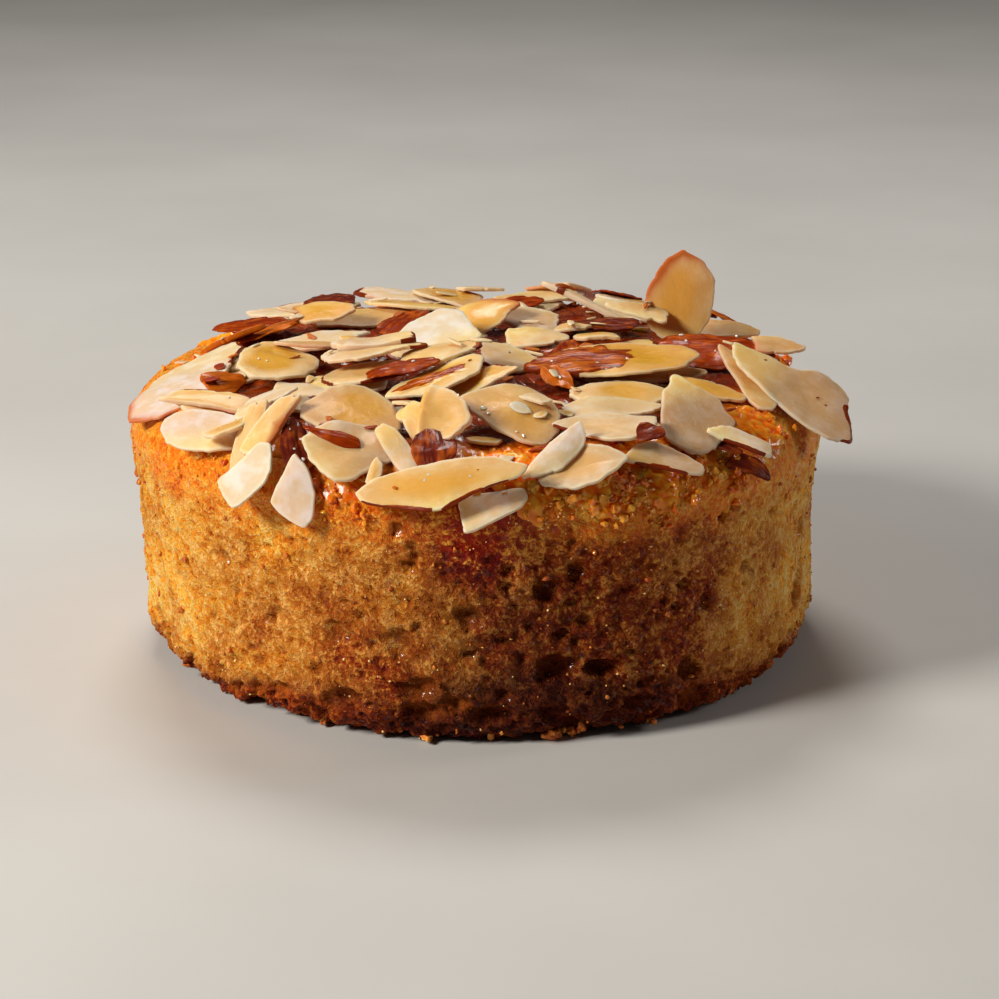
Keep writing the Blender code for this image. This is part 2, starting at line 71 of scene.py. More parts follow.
def profile_points():
    """Radius and height down the outside, from the middle of the top to the base."""
    points = []
    for step in range(DOME_ROWS):
        radius = SHOULDER_RADIUS * step / DOME_ROWS
        points.append((radius, CROWN_HEIGHT - DOME_DROP * (radius / SHOULDER_RADIUS) ** 2))
    for step in range(SHOULDER_ROWS):
        turn = math.radians(90 * step / SHOULDER_ROWS)
        radius = SHOULDER_RADIUS + (LIP_RADIUS - SHOULDER_RADIUS) * math.sin(turn)
        points.append((radius, LIP_HEIGHT + SHOULDER_DROP * math.cos(turn)))
    for step in range(SIDE_ROWS):
        height = LIP_HEIGHT + (CORNER_HEIGHT - LIP_HEIGHT) * step / SIDE_ROWS
        if height > WAIST_HEIGHT:
            share = (height - WAIST_HEIGHT) / (LIP_HEIGHT - WAIST_HEIGHT)
            radius = SIDE_RADIUS + (LIP_RADIUS - SIDE_RADIUS) * share * share
        else:
            share = (WAIST_HEIGHT - height) / (WAIST_HEIGHT - CORNER_HEIGHT)
            radius = SIDE_RADIUS + CORNER_BULGE * share * share
        points.append((radius, height))
    corner_radius = SIDE_RADIUS + CORNER_BULGE
    for step in range(CORNER_ROWS + 1):
        turn = math.radians(90 - 90 * step / CORNER_ROWS)
        radius = BASE_RADIUS + (corner_radius - BASE_RADIUS) * math.sin(turn)
        points.append((radius, CORNER_HEIGHT - CORNER_HEIGHT * math.cos(turn)))
    return np.array(points)


PROFILE = profile_points()
ALONG_PROFILE = np.concatenate([[0.0], np.cumsum(np.hypot(*np.diff(PROFILE, axis=0).T))])


def on_surface(right, back):
    """Points of the turned form and the way it faces there, by the distance right and back
    over it from the middle of the top."""
    right, back = np.atleast_1d(right).astype(float), np.atleast_1d(back).astype(float)
    distance, angle = np.hypot(right, back), np.arctan2(back, right)
    index = np.clip(np.searchsorted(ALONG_PROFILE, distance) - 1, 0, len(PROFILE) - 2)
    step = PROFILE[index + 1] - PROFILE[index]
    length = np.hypot(step[:, 0], step[:, 1])
    spot = PROFILE[index] + step * ((distance - ALONG_PROFILE[index]) / length)[:, None]
    around = np.stack([np.cos(angle), np.sin(angle)], axis=1)
    points = np.c_[around * spot[:, :1], spot[:, 1]]
    facing = np.c_[around * (-step[:, 1] / length)[:, None], step[:, 0] / length]
    return points, facing


# Sponge crumb
# The side is open crumb: thin walls round small burst bubbles, larger holes here and there,
# and a foot torn into crags where the cake let go of the tin.
SPONGE_SEGMENTS = 640
TOP_STEP = 1.0
RIM_STEP = 0.6
SIDE_STEP = 0.36
UNDERSIDE_RINGS = (33.0, 24.0, 12.0)
CRUMB_DEPTH = 0.38
CRAG_DEPTH = 0.6
CRAG_TOP = 6.5
BUBBLE_SIZES = ((1.45, 0.28), (0.8, 0.18))

# Where the crust starts and is full, and how high the dark foot goes, higher in front as painted
# shade.
CRUST_HEIGHTS = (22.5, 29.0)
FOOT_HEIGHT = 4.8
FOOT_CLIMB = 5.6

# Stretches of the side painted darker, as painted shade: middle and width, in degrees round the
# cake.
FRONT = (-76, 29)
RIGHT_OF_FRONT = (-52, 20)
LEFT_OF_FRONT = (-118, 13)
UNDER_FRONT_RIM = (-90, 12)
FOOT_SHADE_RISE = (-82, 46)
FRONT_FOOT_SHADE = (-84, 24)
LOWER_SIDE_SHADE = (-82, 20)

# The larger holes: direction in degrees, height up the side, width, height and depth.
SIDE_PORES = (
    (-92, 15.5, 2.9, 2.3, 1.3),
    (-103, 12.6, 3.1, 2.8, 0.9),
    (-113, 12.7, 2.8, 2.2, 0.8),
    (-80, 18.4, 2.4, 2.4, 1.7),
    (-75, 20.2, 1.7, 2.4, 1.3),
    (-78, 9.4, 4.4, 2.6, 1.6),
    (-71, 8.9, 3.8, 1.6, 1.8),
    (-55, 6.8, 3.2, 2.2, 1.4),
    (-100, 6.9, 3.8, 2.8, 1.5),
    (-99, 4.2, 5.2, 2.2, 1.7),
    (-112, 4.8, 4.0, 2.0, 1.5),
    (-124, 4.4, 3.0, 1.8, 1.2),
    (-88, 3.6, 4.6, 2.0, 1.6),
    (-64, 3.8, 3.6, 1.8, 1.5),
)

# The rest are scattered by rule: larger holes on the sides and the back, small ones all over
# and more along the foot.
SCATTERED_PORES = 12
PORE_SEED = 41
SMALL_PORES = 330
FOOT_HOLES = 110
SMALL_PORE_SEED = 8
BEND_SEED = 7

random_pore = random.Random(PORE_SEED)
pores = list(SIDE_PORES)
while len(pores) < len(SIDE_PORES) + SCATTERED_PORES:
    azimuth = random_pore.uniform(-35, 215)
    height = random_pore.uniform(3.5, 21)
    width = random_pore.uniform(2.2, 4.2)
    near = [p for p in pores if abs(p[0] - azimuth) < 7 and abs(p[1] - height) < 4]
    if not near:
        pores.append((azimuth, height, width, width * random_pore.uniform(0.5, 0.8), 1.3))
random_pore = random.Random(SMALL_PORE_SEED)
for number in range(SMALL_PORES + FOOT_HOLES):
    height = 1.5 + 25.0 * random_pore.random() ** 1.4
    width = random_pore.uniform(0.7, 1.7)
    if number >= SMALL_PORES:
        height = random_pore.uniform(0.6, 5.5)
        width = random_pore.uniform(1.2, 3.2)
    tall = width * random_pore.uniform(0.45, 0.9)
    deep = 0.3 + 0.32 * width
    pores.append((random_pore.uniform(-180, 180), height, width, tall, deep))


def smooth_step(low, high, value):
    share = np.clip((value - low) / (high - low), 0, 1)
    return share * share * (3 - 2 * share)


def bell(value, middle, width):
    """1 at the middle, and next to nothing two widths away from it."""
    return np.exp(-(((value - middle) / width) ** 2))


def azimuth_of(points):
    return np.degrees(np.arctan2(points[:, 1], points[:, 0]))


def degrees_off(angle, direction):
    return (angle - direction + 180) % 360 - 180


def noise_at(points, scale, shift=(0, 0, 0), octaves=0):
    """Noise at each point: rough where it has octaves, smooth where it has none."""
    spots = [Vector(point) * scale + Vector(shift) for point in points]
    if octaves:
        return np.array([noise.fractal(spot, 1.0, 2.0, octaves) for spot in spots])
    return np.array([noise.noise(spot) for spot in spots])


noise.seed_set(BEND_SEED)


def bubble_gaps(point, size, bend, wave):
    """How far the point is from the nearest bubbles' middles, in bubble sizes."""
    point = Vector(point)
    return noise.voronoi((point + bend * noise.noise_vector(point * wave)) / size)[0]


def crumb_relief(points):
    """How far the baked surface stands out, how high the spot is among its bubbles, and how
    deep it lies in a pore."""
    z, angle = points[:, 2], azimuth_of(points)
    calm = 1.0 - 0.55 * smooth_step(-68, -44, angle) * smooth_step(30, 0, angle)
    side = np.clip((LIP_HEIGHT + 3.0 - z) / 6.0, 0, 1)
    crag = np.clip((CRAG_TOP - z) / 4.0, 0, 1)
    fine = noise_at(points, 0.34, octaves=3)
    broad = noise_at(points, 0.075, (9, 2, 4))
    rough = noise_at(points, 0.55, (3, 7, 1), 3)
    relief = side * (CRUMB_DEPTH * fine * calm + 0.5 * broad - 0.1)
    relief += crag * (CRAG_DEPTH * rough - 0.1)
    relief += (1.0 - side) * (0.12 * fine - 0.12)
    ridge = np.zeros(len(points))
    for size, depth in BUBBLE_SIZES:
        gaps = [bubble_gaps(point, size, 0.6, 0.9) for point in points]
        wall = np.array([1.0 - min((gap[1] - gap[0]) / 0.5, 1.0) for gap in gaps])
        relief += depth * (wall - 0.6) * (0.35 + 0.65 * side * calm + 0.6 * crag)
        ridge += 0.5 * wall
    hollow = np.zeros(len(points))
    ragged = noise_at(points, 0.8, octaves=2)
    for azimuth, height, width, tall, depth in pores:
        across = np.radians(degrees_off(angle, azimuth)) * SIDE_RADIUS / (width / 2 * 1.1)
        up = (z - height) / (tall / 2 * 1.1)
        away = np.hypot(across, up) * (1 + 0.4 * ragged)
        bowl = np.sqrt(np.clip(1.0 - (away / 1.1) ** 2, 0, 1))
        hollow = np.maximum(hollow, depth * bowl * (z < LIP_HEIGHT))
    return relief - hollow, ridge, hollow


def rings_over(stops, segments):
    """Rings of points over the form: how far out and in what direction each point lies, its
    place and the way it faces."""
    around = 2 * math.pi * np.arange(segments) / segments
    distance, angle = np.repeat(stops, segments), np.tile(around, len(stops))
    return distance, angle, *on_surface(distance * np.cos(angle), distance * np.sin(angle))


def left_lean(points, share=1.0):
    """How the cake leans out at the left, from the shoulder on."""
    radius = np.hypot(points[:, 0], points[:, 1])
    outward = np.c_[points[:, :2] / radius[:, None], np.zeros(len(points))]
    facing_left = np.maximum(0, -outward[:, 0]) ** 2
    past_shoulder = smooth_step(SHOULDER_RADIUS, SHOULDER_RADIUS + FLARE_RUN, radius)
    return outward * (LEFT_FLARE * facing_left * share * past_shoulder)[:, None]


def quads_round(rows, segments):
    """Quads that join ring after ring of a turned surface."""
    faces = []
    for row in range(rows - 1):
        for k in range(segments):
            a, b = row * segments + k, row * segments + (k + 1) % segments
            faces.append((a, a + segments, b + segments, b))
    return faces


def mesh_of(name, verts, faces):
    """A mesh object from points in millimetres and its faces."""
    mesh = bpy.data.meshes.new(name)
    mesh.from_pydata((np.asarray(verts) * MM).tolist(), [], faces)
    mesh.shade_smooth()
    obj = bpy.data.objects.new(name, mesh)
    bpy.context.scene.collection.objects.link(obj)
    return obj


def paint(obj, name, values):
    """Stores four numbers a point for the material to read."""
    layer = obj.data.color_attributes.new(name, "FLOAT_COLOR", "POINT")
    layer.data.foreach_set("color", np.asarray(values, np.float32).ravel())


reach = ALONG_PROFILE[-1]
stops = np.concatenate([
    np.arange(1.0, 30.0, TOP_STEP), np.arange(30.0, 36.0, RIM_STEP),
    np.arange(36.0, reach, SIDE_STEP), [reach],
])
_, angle, points, facing = rings_over(stops, SPONGE_SEGMENTS)
relief, ridge, hollow = crumb_relief(points)
above_corner = np.clip((points[:, 2] - CORNER_HEIGHT) / FLARE_RISE, 0, 1)
points = points + facing * relief[:, None] + left_lean(points, above_corner)
points[:, 2] = np.maximum(points[:, 2], 0.0)
skin_points, skin_facing = points, facing
around = angle[:SPONGE_SEGMENTS]
under = [(r * math.cos(a), r * math.sin(a), 0.0) for r in UNDERSIDE_RINGS for a in around]
verts = np.concatenate([points, under, [(0, 0, CROWN_HEIGHT), (0, 0, 0)]])
middle = (len(stops) + len(UNDERSIDE_RINGS)) * SPONGE_SEGMENTS
last_ring = middle - SPONGE_SEGMENTS
faces = quads_round(middle // SPONGE_SEGMENTS, SPONGE_SEGMENTS)
turns = [(k, (k + 1) % SPONGE_SEGMENTS) for k in range(SPONGE_SEGMENTS)]
faces += [(middle, k, after) for k, after in turns]
faces += [(middle + 1, last_ring + after, last_ring + k) for k, after in turns]
sponge = mesh_of("sponge_cake", verts, faces)

# How the oven coloured it, and where shade is painted on: crust over the rim, a dark foot
# that is partly painted shade, and the front and the stretches beside it darker as painted shade.
azimuth, z = azimuth_of(points), points[:, 2]
browned = noise_at(points, 0.13, octaves=2)
front = bell(azimuth, *FRONT)
crusted = smooth_step(*CRUST_HEIGHTS, z + 3.0 * browned + 1.6 * front)
# The dark foot: browned crust, with painted shade where the side turns under; it is painted higher
# in front, as painted shade.
foot_top = FOOT_HEIGHT + FOOT_CLIMB * bell(azimuth, *FOOT_SHADE_RISE)
footed = smooth_step(1.0, 0.3, (z + 2.0 * browned) / foot_top)
# Painted shade: the side is coloured darker across the front below the crust, right of the front,
# and low down left of the front.
shaded = 0.14 * bell(azimuth, *RIGHT_OF_FRONT)
left_front_shade = 0.50 * bell(azimuth, *LEFT_OF_FRONT) * smooth_step(24, 14, z)
front_shade = 0.95 * front * (1 - 0.45 * smooth_step(25.5, 30.0, z))
# Random browning plus that painted shade make the mix of golden and brown crumb.
bake_and_shade = np.clip(0.20 + 0.5 * browned + front_shade + shaded + left_front_shade, 0, 1)
# Painted shadow under the front rim.
under_rim = bell(azimuth, *UNDER_FRONT_RIM) * smooth_step(17.0, 24.0, z + 3.0 * browned)
# Painted shade over the lower front of the side and the front of the foot.
lower_front = bell(azimuth, *LOWER_SIDE_SHADE) * smooth_step(24, 15, z)
low_front_shade = np.clip(bell(azimuth, *FRONT_FOOT_SHADE) * footed + 0.72 * lower_front, 0, 1)
hidden = len(verts) - len(points)
bake_and_shade = np.stack([bake_and_shade, np.clip(1.2 * under_rim, 0, 1), low_front_shade, np.zeros(len(z))], axis=1)
paint(sponge, "bake_and_shade", np.concatenate([bake_and_shade, np.zeros((hidden, 4))]))
look = np.stack([ridge, crusted, np.clip(hollow / 1.4, 0, 1), footed], axis=1)
paint(sponge, "crumb", np.concatenate([look, np.tile([0, 0, 0, 1], (hidden, 1))]))


def plug(tree, made, inputs):
    """Fills a node's inputs: a socket is linked to it, and any other value is typed in."""
    for socket, value in inputs:
        if isinstance(value, bpy.types.NodeSocket):
            tree.links.new(value, made.inputs[socket])
        elif value is not None:
            made.inputs[socket].default_value = value


def node(tree, kind, inputs=(), **settings):
    """Adds a shader node with its settings and inputs."""
    made = tree.nodes.new(kind)
    for name, value in settings.items():
        setattr(made, name, value)
    plug(tree, made, inputs)
    return made


def ramp(tree, value, stops_and_colours):
    """Colour ramp through (place, colour) pairs."""
    made = node(tree, "ShaderNodeValToRGB", [("Fac", value)])
    elements = made.color_ramp.elements
    while len(elements) < len(stops_and_colours):
        elements.new(0.5)
    for element, (place, colour) in zip(elements, stops_and_colours):
        element.position = place
        element.color = (*colour, 1.0)
    return made.outputs["Color"]


def blend_colours(tree, share, first, second, how="MIX"):
    made = node(tree, "ShaderNodeMix", data_type="RGBA", blend_type=how, clamp_result=True)
    colours = [(*c, 1.0) if isinstance(c, tuple) else c for c in (first, second)]
    plug(tree, made, zip((0, 6, 7), (share, *colours)))
    return made.outputs[2]


def times_colour(tree, colour, tint):
    return blend_colours(tree, 1.0, colour, tint, "MULTIPLY")


def sums(tree, how, *values, clamp=False):
    made = node(tree, "ShaderNodeMath", enumerate(values), operation=how, use_clamp=clamp)
    return made.outputs[0]


def scaled(tree, value, by, *plus, clamp=False):
    """A value times another, and a third one added where it is given."""
    return sums(tree, "MULTIPLY_ADD" if plus else "MULTIPLY", value, by, *plus, clamp=clamp)


def between(tree, value, low, high):
    """0 below low, 1 above high, and a smooth rise from one to the other."""
    limits = [("Value", value), ("From Min", low), ("From Max", high)]
    made = node(tree, "ShaderNodeMapRange", limits, interpolation_type="SMOOTHSTEP")
    return made.outputs["Result"]


def noise_texture(tree, place, scale, detail, *more):
    """A noise texture of so many cycles a metre."""
    inputs = [("Vector", place), ("Scale", scale), ("Detail", detail), *more]
    return node(tree, "ShaderNodeTexNoise", inputs).outputs


def own_place(tree, scale):
    """Place on the piece, times a scale."""
    place = node(tree, "ShaderNodeTexCoord").outputs["Object"]
    inputs = [(0, place), ("Scale", scale)]
    return node(tree, "ShaderNodeVectorMath", inputs, operation="SCALE").outputs[0]


def parted(tree, colour):
    return node(tree, "ShaderNodeSeparateColor", [("Color", colour)]).outputs


def painted(tree, name):
    """The four numbers that paint() stored under a name."""
    stored = node(tree, "ShaderNodeAttribute", attribute_name=name).outputs
    return *parted(tree, stored["Color"]), stored["Alpha"]


def bumped(tree, height, strength, depth):
    """The normal of a relief, its depth in millimetres."""
    inputs = [("Height", height), ("Strength", strength), ("Distance", depth * MM)]
    return node(tree, "ShaderNodeBump", inputs).outputs["Normal"]


def new_group(name, inputs, outputs):
    """A shader node group that takes and gives plain numbers."""
    group = bpy.data.node_groups.new(name, "ShaderNodeTree")
    for label, value in inputs.items():
        socket = group.interface.new_socket(label, in_out="INPUT", socket_type="NodeSocketFloat")
        socket.default_value = value
    for label in outputs:
        group.interface.new_socket(label, in_out="OUTPUT", socket_type="NodeSocketFloat")
    return group, group.nodes.new("NodeGroupInput").outputs, group.nodes.new("NodeGroupOutput")


def from_group(tree, group, **values):
    return node(tree, "ShaderNodeGroup", values.items(), node_tree=group).outputs


def new_material(name):
    material = bpy.data.materials.new(name)
    material.use_nodes = True
    return material, material.node_tree, material.node_tree.nodes["Principled BSDF"]


def dress(tree, shader, colour, rough, specular=None, flesh=None, coat=None, normal=None):
    """Fills in the shader. flesh is how much light sinks in, and how many millimetres deep
    its red, green and blue go; coat is how much syrup lies on it, and how rough that is."""
    soft, depths = flesh or (None, None)
    wet, wet_rough = coat or (None, None)
    plug(tree, shader, (
        ("Base Color", colour), ("Roughness", rough), ("Specular IOR Level", specular),
        ("Subsurface Weight", soft), ("Subsurface Radius", depths),
        ("Subsurface Scale", MM if flesh else None),
        ("Coat Weight", wet), ("Coat Roughness", wet_rough), ("Normal", normal),
    ))


# Crumb grain: the finest bubbles and grains of baked batter, on the side, the foot and the
# loose crumbs. Its tone is painted lighter on the tops and darker in the dents, as painted
# highlight and painted shade over random patches.
grain, ins, outs = new_group("crumb_grain", {"Scale": 1.0}, ("Height", "Tone", "Wet"))
place = own_place(grain, ins["Scale"])
wander = noise_texture(grain, place, 900.0, 2.0)["Color"]
push = node(grain, "ShaderNodeVectorMath", [(0, wander), ("Scale", 0.0009)], operation="SCALE")
bent = [(0, place), (1, push.outputs[0])]
bent = node(grain, "ShaderNodeVectorMath", bent, operation="ADD").outputs[0]
shards = [("Vector", bent), ("Scale", 1500.0)]
shards = node(grain, "ShaderNodeTexVoronoi", shards, feature="F1").outputs
shade = parted(grain, shards["Color"])[0]
grains = noise_texture(grain, place, 2600.0, 3.0, ("Roughness", 0.65))["Fac"]
webs = noise_texture(grain, bent, 760.0, 2.0)["Fac"]
patches = noise_texture(grain, place, 330.0, 4.0)["Fac"]
wet = noise_texture(grain, bent, 1500.0, 2.0)["Fac"]
off_web = sums(grain, "ABSOLUTE", sums(grain, "SUBTRACT", webs, 0.5))
rounded = sums(grain, "SUBTRACT", 1.0, shards["Distance"])
height = scaled(grain, between(grain, grains, 0.45, 0.58), 0.34, scaled(grain, rounded, 0.30))
height = scaled(grain, between(grain, off_web, 0.075, 0.0), 0.42, height)
height = scaled(grain, shade, 0.16, height)
# Tone follows the relief: painted highlight on the tops, painted shade in the dents.
tone = scaled(grain, patches, 0.75, scaled(grain, height, 0.34))
tone = scaled(grain, shade, 0.16, sums(grain, "SUBTRACT", tone, 0.13))
tone = scaled(grain, grains, 0.22, tone)
wet = between(grain, wet, 0.58, 0.64)
plug(grain, outs, [("Height", height), ("Tone", tone), ("Wet", wet)])

baked, tree, shader = new_material("baked_sponge")
ridge_mask, crust_mask, pore_mask, foot_mask = painted(tree, "crumb")
bake_and_shade, rim_shade_mask, low_front_shade_mask, _ = painted(tree, "bake_and_shade")
fine_grain = from_group(tree, grain, Scale=1.0)
# Bubble walls are painted lighter, as painted highlight.
tone = scaled(tree, ridge_mask, 0.30, fine_grain["Tone"])
golden = ramp(tree, tone, (
    (0.42, (0.42, 0.068, 0.003)),
    (0.56, (0.82, 0.23, 0.009)),
    (0.70, (0.96, 0.38, 0.026)),
    (0.84, (0.97, 0.49, 0.07)),
    (1.0, (0.98, 0.60, 0.18)),
))
brown = ramp(tree, tone, (
    (0.42, (0.08, 0.004, 0.001)),
    (0.58, (0.20, 0.014, 0.001)),
    (0.74, (0.32, 0.040, 0.002)),
    (0.88, (0.48, 0.110, 0.008)),
    (1.0, (0.74, 0.29, 0.05)),
))
crust = ramp(tree, tone, (
    (0.42, (0.46, 0.040, 0.001)),
    (0.58, (0.84, 0.150, 0.004)),
    (0.76, (0.94, 0.26, 0.010)),
    (1.0, (0.98, 0.42, 0.045)),
))
foot = ramp(tree, tone, (
    (0.44, (0.034, 0.002, 0.001)),
    (0.60, (0.11, 0.006, 0.001)),
    (0.78, (0.27, 0.026, 0.001)),
    (1.0, (0.50, 0.11, 0.010)),
))
# Golden crumb turns to brown by random browning and by the painted shade on the side.
colour = blend_colours(tree, bake_and_shade, golden, brown)
# The dark foot, partly browned crust and partly painted shade.
colour = blend_colours(tree, foot_mask, colour, foot)
colour = blend_colours(tree, crust_mask, colour, crust)
# Painted shadow under the front rim, strongest on the dark grains.
rim_shade = times_colour(tree, colour, (0.42, 0.08, 0.04))
rim_shade_grains = scaled(tree, rim_shade_mask, between(tree, tone, 1.12, 0.72))
colour = blend_colours(tree, rim_shade_grains, colour, rim_shade)
# Painted shade over the lower front and the front of the foot.
low_front_shade = times_colour(tree, colour, (0.30, 0.27, 0.28))
colour = blend_colours(tree, low_front_shade_mask, colour, low_front_shade)
# Pores painted darker inside, as painted shade in the hollows, darker still where the side has
# painted shade.
pore_shade_colour = blend_colours(tree, bake_and_shade, (0.62, 0.15, 0.008), (0.12, 0.010, 0.001))
colour = blend_colours(tree, scaled(tree, pore_mask, 0.8), colour, pore_shade_colour)
dull = scaled(tree, fine_grain["Wet"], -0.40, 0.66)
dress(
    tree, shader, colour, scaled(tree, crust_mask, -0.14, dull, clamp=True), specular=0.12,
    flesh=(0.4, (2.2, 0.7, 0.15)),
    coat=(scaled(tree, crust_mask, 0.1, scaled(tree, fine_grain["Wet"], 0.4)), 0.12),
    normal=bumped(tree, fine_grain["Height"], 1.0, 0.34),
)
sponge.data.materials.append(baked)
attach(sponge, "root")
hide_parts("sponge")


# Loose crumbs
# Grains that broke off the side and cling to it, with a few larger ones that show against
# the outline and a ragged lump that hangs at the front of the foot.
CRUMBS = 620
CRUMB_SEED = 5
STUCK_OUT = 0.3
OFF_THE_TABLE = 0.02

# Those that show against the outline: direction in degrees, height and size.
OUTLINE_CRUMBS = (
    (-172, 21.5, 0.45), (-171, 20.4, 0.3), (-168, 15.5, 0.35), (-160, 5.0, 0.4), (-152, 1.6, 0.5),
    (-78, 0.9, 0.8), (-76.5, 0.5, 0.9), (-75, 1.3, 0.7), (-74, 0.5, 0.9), (-73, 1.0, 0.6),
    (-99, 0.6, 0.6), (-104, 0.7, 0.5), (-60, 0.7, 0.5), (-118, 0.7, 0.5), (-88, 0.6, 0.6),
)


def pebble(size, draw, rings, uneven=0.9):
    """A small uneven lump round the origin."""
    shape = bmesh.new()
    bmesh.ops.create_icosphere(shape, subdivisions=rings, radius=size)
    stretch = [draw.uniform(0.55, 1.15) for _ in range(3)]
    shift = Vector([draw.uniform(0, 90) for _ in range(3)])
    verts = []
    for vertex in shape.verts:
        swell = 1 + uneven * noise.noise(vertex.co * (1.3 / size) + shift)
        verts.append([c * s * swell for c, s in zip(vertex.co, stretch)])
    faces = [[v.index for v in face.verts] for face in shape.faces]
    shape.free()
    return np.array(verts), faces


def joined(name, lumps, lowest=-np.inf):
    """One mesh object from many small (points, faces), none of it below the lowest."""
    verts, faces, start = [], [], 0
    for points, corners in lumps:
        verts.append(points)
        faces += [[corner + start for corner in face] for face in corners]
        start += len(points)
    verts = np.concatenate(verts)
    verts[:, 2] = np.maximum(verts[:, 2], lowest)
    return mesh_of(name, verts, faces)


draw = random.Random(CRUMB_SEED)
on_side = np.flatnonzero((skin_points[:, 2] < LIP_HEIGHT) & (skin_points[:, 2] > 0.6))
side_azimuth = azimuth_of(skin_points[on_side])
lumps = []
for n in range(len(OUTLINE_CRUMBS) + CRUMBS):
    if n < len(OUTLINE_CRUMBS):
        azimuth, height, size = OUTLINE_CRUMBS[n]
        off = (side_azimuth - azimuth) ** 2 + (2.5 * (skin_points[on_side, 2] - height)) ** 2
        spot, rings = on_side[off.argmin()], 3
    else:
        spot, rings = on_side[draw.randrange(len(on_side))], 2
        size = 0.10 + 0.30 * draw.random() ** 3
    points, faces = pebble(size, draw, rings)
    lumps.append((points + skin_points[spot] + skin_facing[spot] * size * STUCK_OUT, faces))
crumbs = joined("loose_crumbs", lumps, OFF_THE_TABLE)
crumb_material, tree, shader = new_material("loose_crumb")
fine_grain = from_group(tree, grain, Scale=0.8)
# Colour follows the grain's tone, with its painted highlight and painted shade.
colour = ramp(tree, fine_grain["Tone"], (
    (0.40, (0.34, 0.045, 0.003)), (0.65, (0.74, 0.19, 0.010)), (0.90, (0.93, 0.42, 0.07)),
))
dress(
    tree, shader, colour, scaled(tree, fine_grain["Wet"], -0.3, 0.6),
    flesh=(0.25, (1.6, 0.6, 0.2)), normal=bumped(tree, fine_grain["Height"], 0.7, 0.15),
)
crumbs.data.materials.append(crumb_material)
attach(crumbs, "root")


# Glaze
# Almond syrup brushed over the hot top. It pools dark red-brown between the flakes, thins
# to amber where it ran over the rim, and dries in beads and burst bubbles.
GLAZE_EDGE = 34.6
GLAZE_SEGMENTS = 560
GLAZE_STEP = 0.42
GLAZE_REACH = 47.5
FILM = 0.24
POOL = 0.5
OVER_CRUMB = 0.75
BURST_SIZE = 1.25

# Where it ran over the rim: direction and width in degrees, and how far it ran.
GLAZE_RUNS = (
    (-114, 7.0, 8.6), (-128, 5.0, 4.6), (-140, 6.0, 5.4), (-155, 5.0, 4.0), (-100, 6.0, 7.0),
    (-84, 6.0, 8.0), (-71, 8.0, 10.4), (-60, 5.0, 9.4), (-49, 6.0, 7.4), (-33, 7.0, 6.8),
    (-14, 6.0, 5.0), (15, 7.0, 4.4), (42, 5.0, 6.0), (70, 8.0, 3.6), (98, 6.0, 5.6),
    (127, 7.0, 4.0), (152, 5.0, 5.4), (176, 7.0, 3.0),
)


def wavy(radius, angle):
    """The slow waves of the edge of what was brushed on."""
    return radius + 0.8 * np.sin(3 * angle + 1.0) + 0.5 * np.sin(7 * angle)


def glaze_edge(angle):
    """How far over the top the glaze ran, by direction."""
    edge = wavy(GLAZE_EDGE, angle)
    for azimuth, width, run in GLAZE_RUNS:
        edge = edge + run * bell(degrees_off(np.degrees(angle), azimuth), 0, width)
    return edge


stops = np.arange(0.6, GLAZE_REACH, GLAZE_STEP)
distance, angle, points, facing = rings_over(stops, GLAZE_SEGMENTS)
relief, _, _ = crumb_relief(points)
ripple = noise_at(points, 0.55, (1, 8, 3))
inside = glaze_edge(angle) + 2.6 * noise_at(points, 0.22, octaves=3) - distance
pooled = smooth_step(0.0, 7.0, inside)
burst = np.zeros(len(points))
for n in np.flatnonzero(inside > -1.0):
    gaps = bubble_gaps(points[n], BURST_SIZE, 0.5, 0.8)
    burst[n] = min((gaps[1] - gaps[0]) / 0.4, 1.0) - 0.7 * (gaps[0] < 0.22)
over_rim = smooth_step(31.0, 36.0, distance)
film = FILM + POOL * pooled + 0.22 * ripple * (0.4 + pooled)
film = smooth_step(-0.9, 1.2, inside) * (film + (burst - 0.6) * (0.14 + 0.34 * over_rim))
film = np.where(inside > 0, np.maximum(film, 0.1), film) - 0.45 * smooth_step(0.2, -0.9, inside)
points = points + facing * (relief * OVER_CRUMB + film)[:, None] + left_lean(points)
wet = inside > -0.9
faces = [face for face in quads_round(len(stops), GLAZE_SEGMENTS) if wet[list(face)].any()]
faces.append(tuple(range(GLAZE_SEGMENTS)))
glaze = mesh_of("glaze", points, faces)
shape = bmesh.new()
shape.from_mesh(glaze.data)
thickness = shape.verts.layers.float_color.new("depth")
# Painted shade: the run over the rim is coloured darker on the left, where the key lamp falls
# strongest.
painted_left_shade = bell(azimuth_of(points), -125, 24)
for vertex in shape.verts:
    n = vertex.index
    deep = float(np.clip(film[n] / 0.95, 0, 1))
    vertex[thickness] = (deep, float(over_rim[n]), float(burst[n]), float(painted_left_shade[n]))
bmesh.ops.delete(shape, geom=[v for v in shape.verts if not v.link_faces], context="VERTS")
shape.to_mesh(glaze.data)
shape.free()

# Sugar specks: dried spots and dents that break up the shine of glaze, skins and crust.
specks, ins, outs = new_group("sugar_specks", {"Scale": 1.0}, ("Height", "Specks"))
place = own_place(specks, ins["Scale"])
dents = [("Vector", place), ("Scale", 700.0)]
dents = node(specks, "ShaderNodeTexVoronoi", dents, feature="SMOOTH_F1").outputs["Distance"]
ripples = noise_texture(specks, place, 420.0, 3.0)["Fac"]
height = scaled(specks, dents, 0.5, ripples)
plug(specks, outs, [("Height", height), ("Specks", between(specks, dents, 0.24, 0.10))])

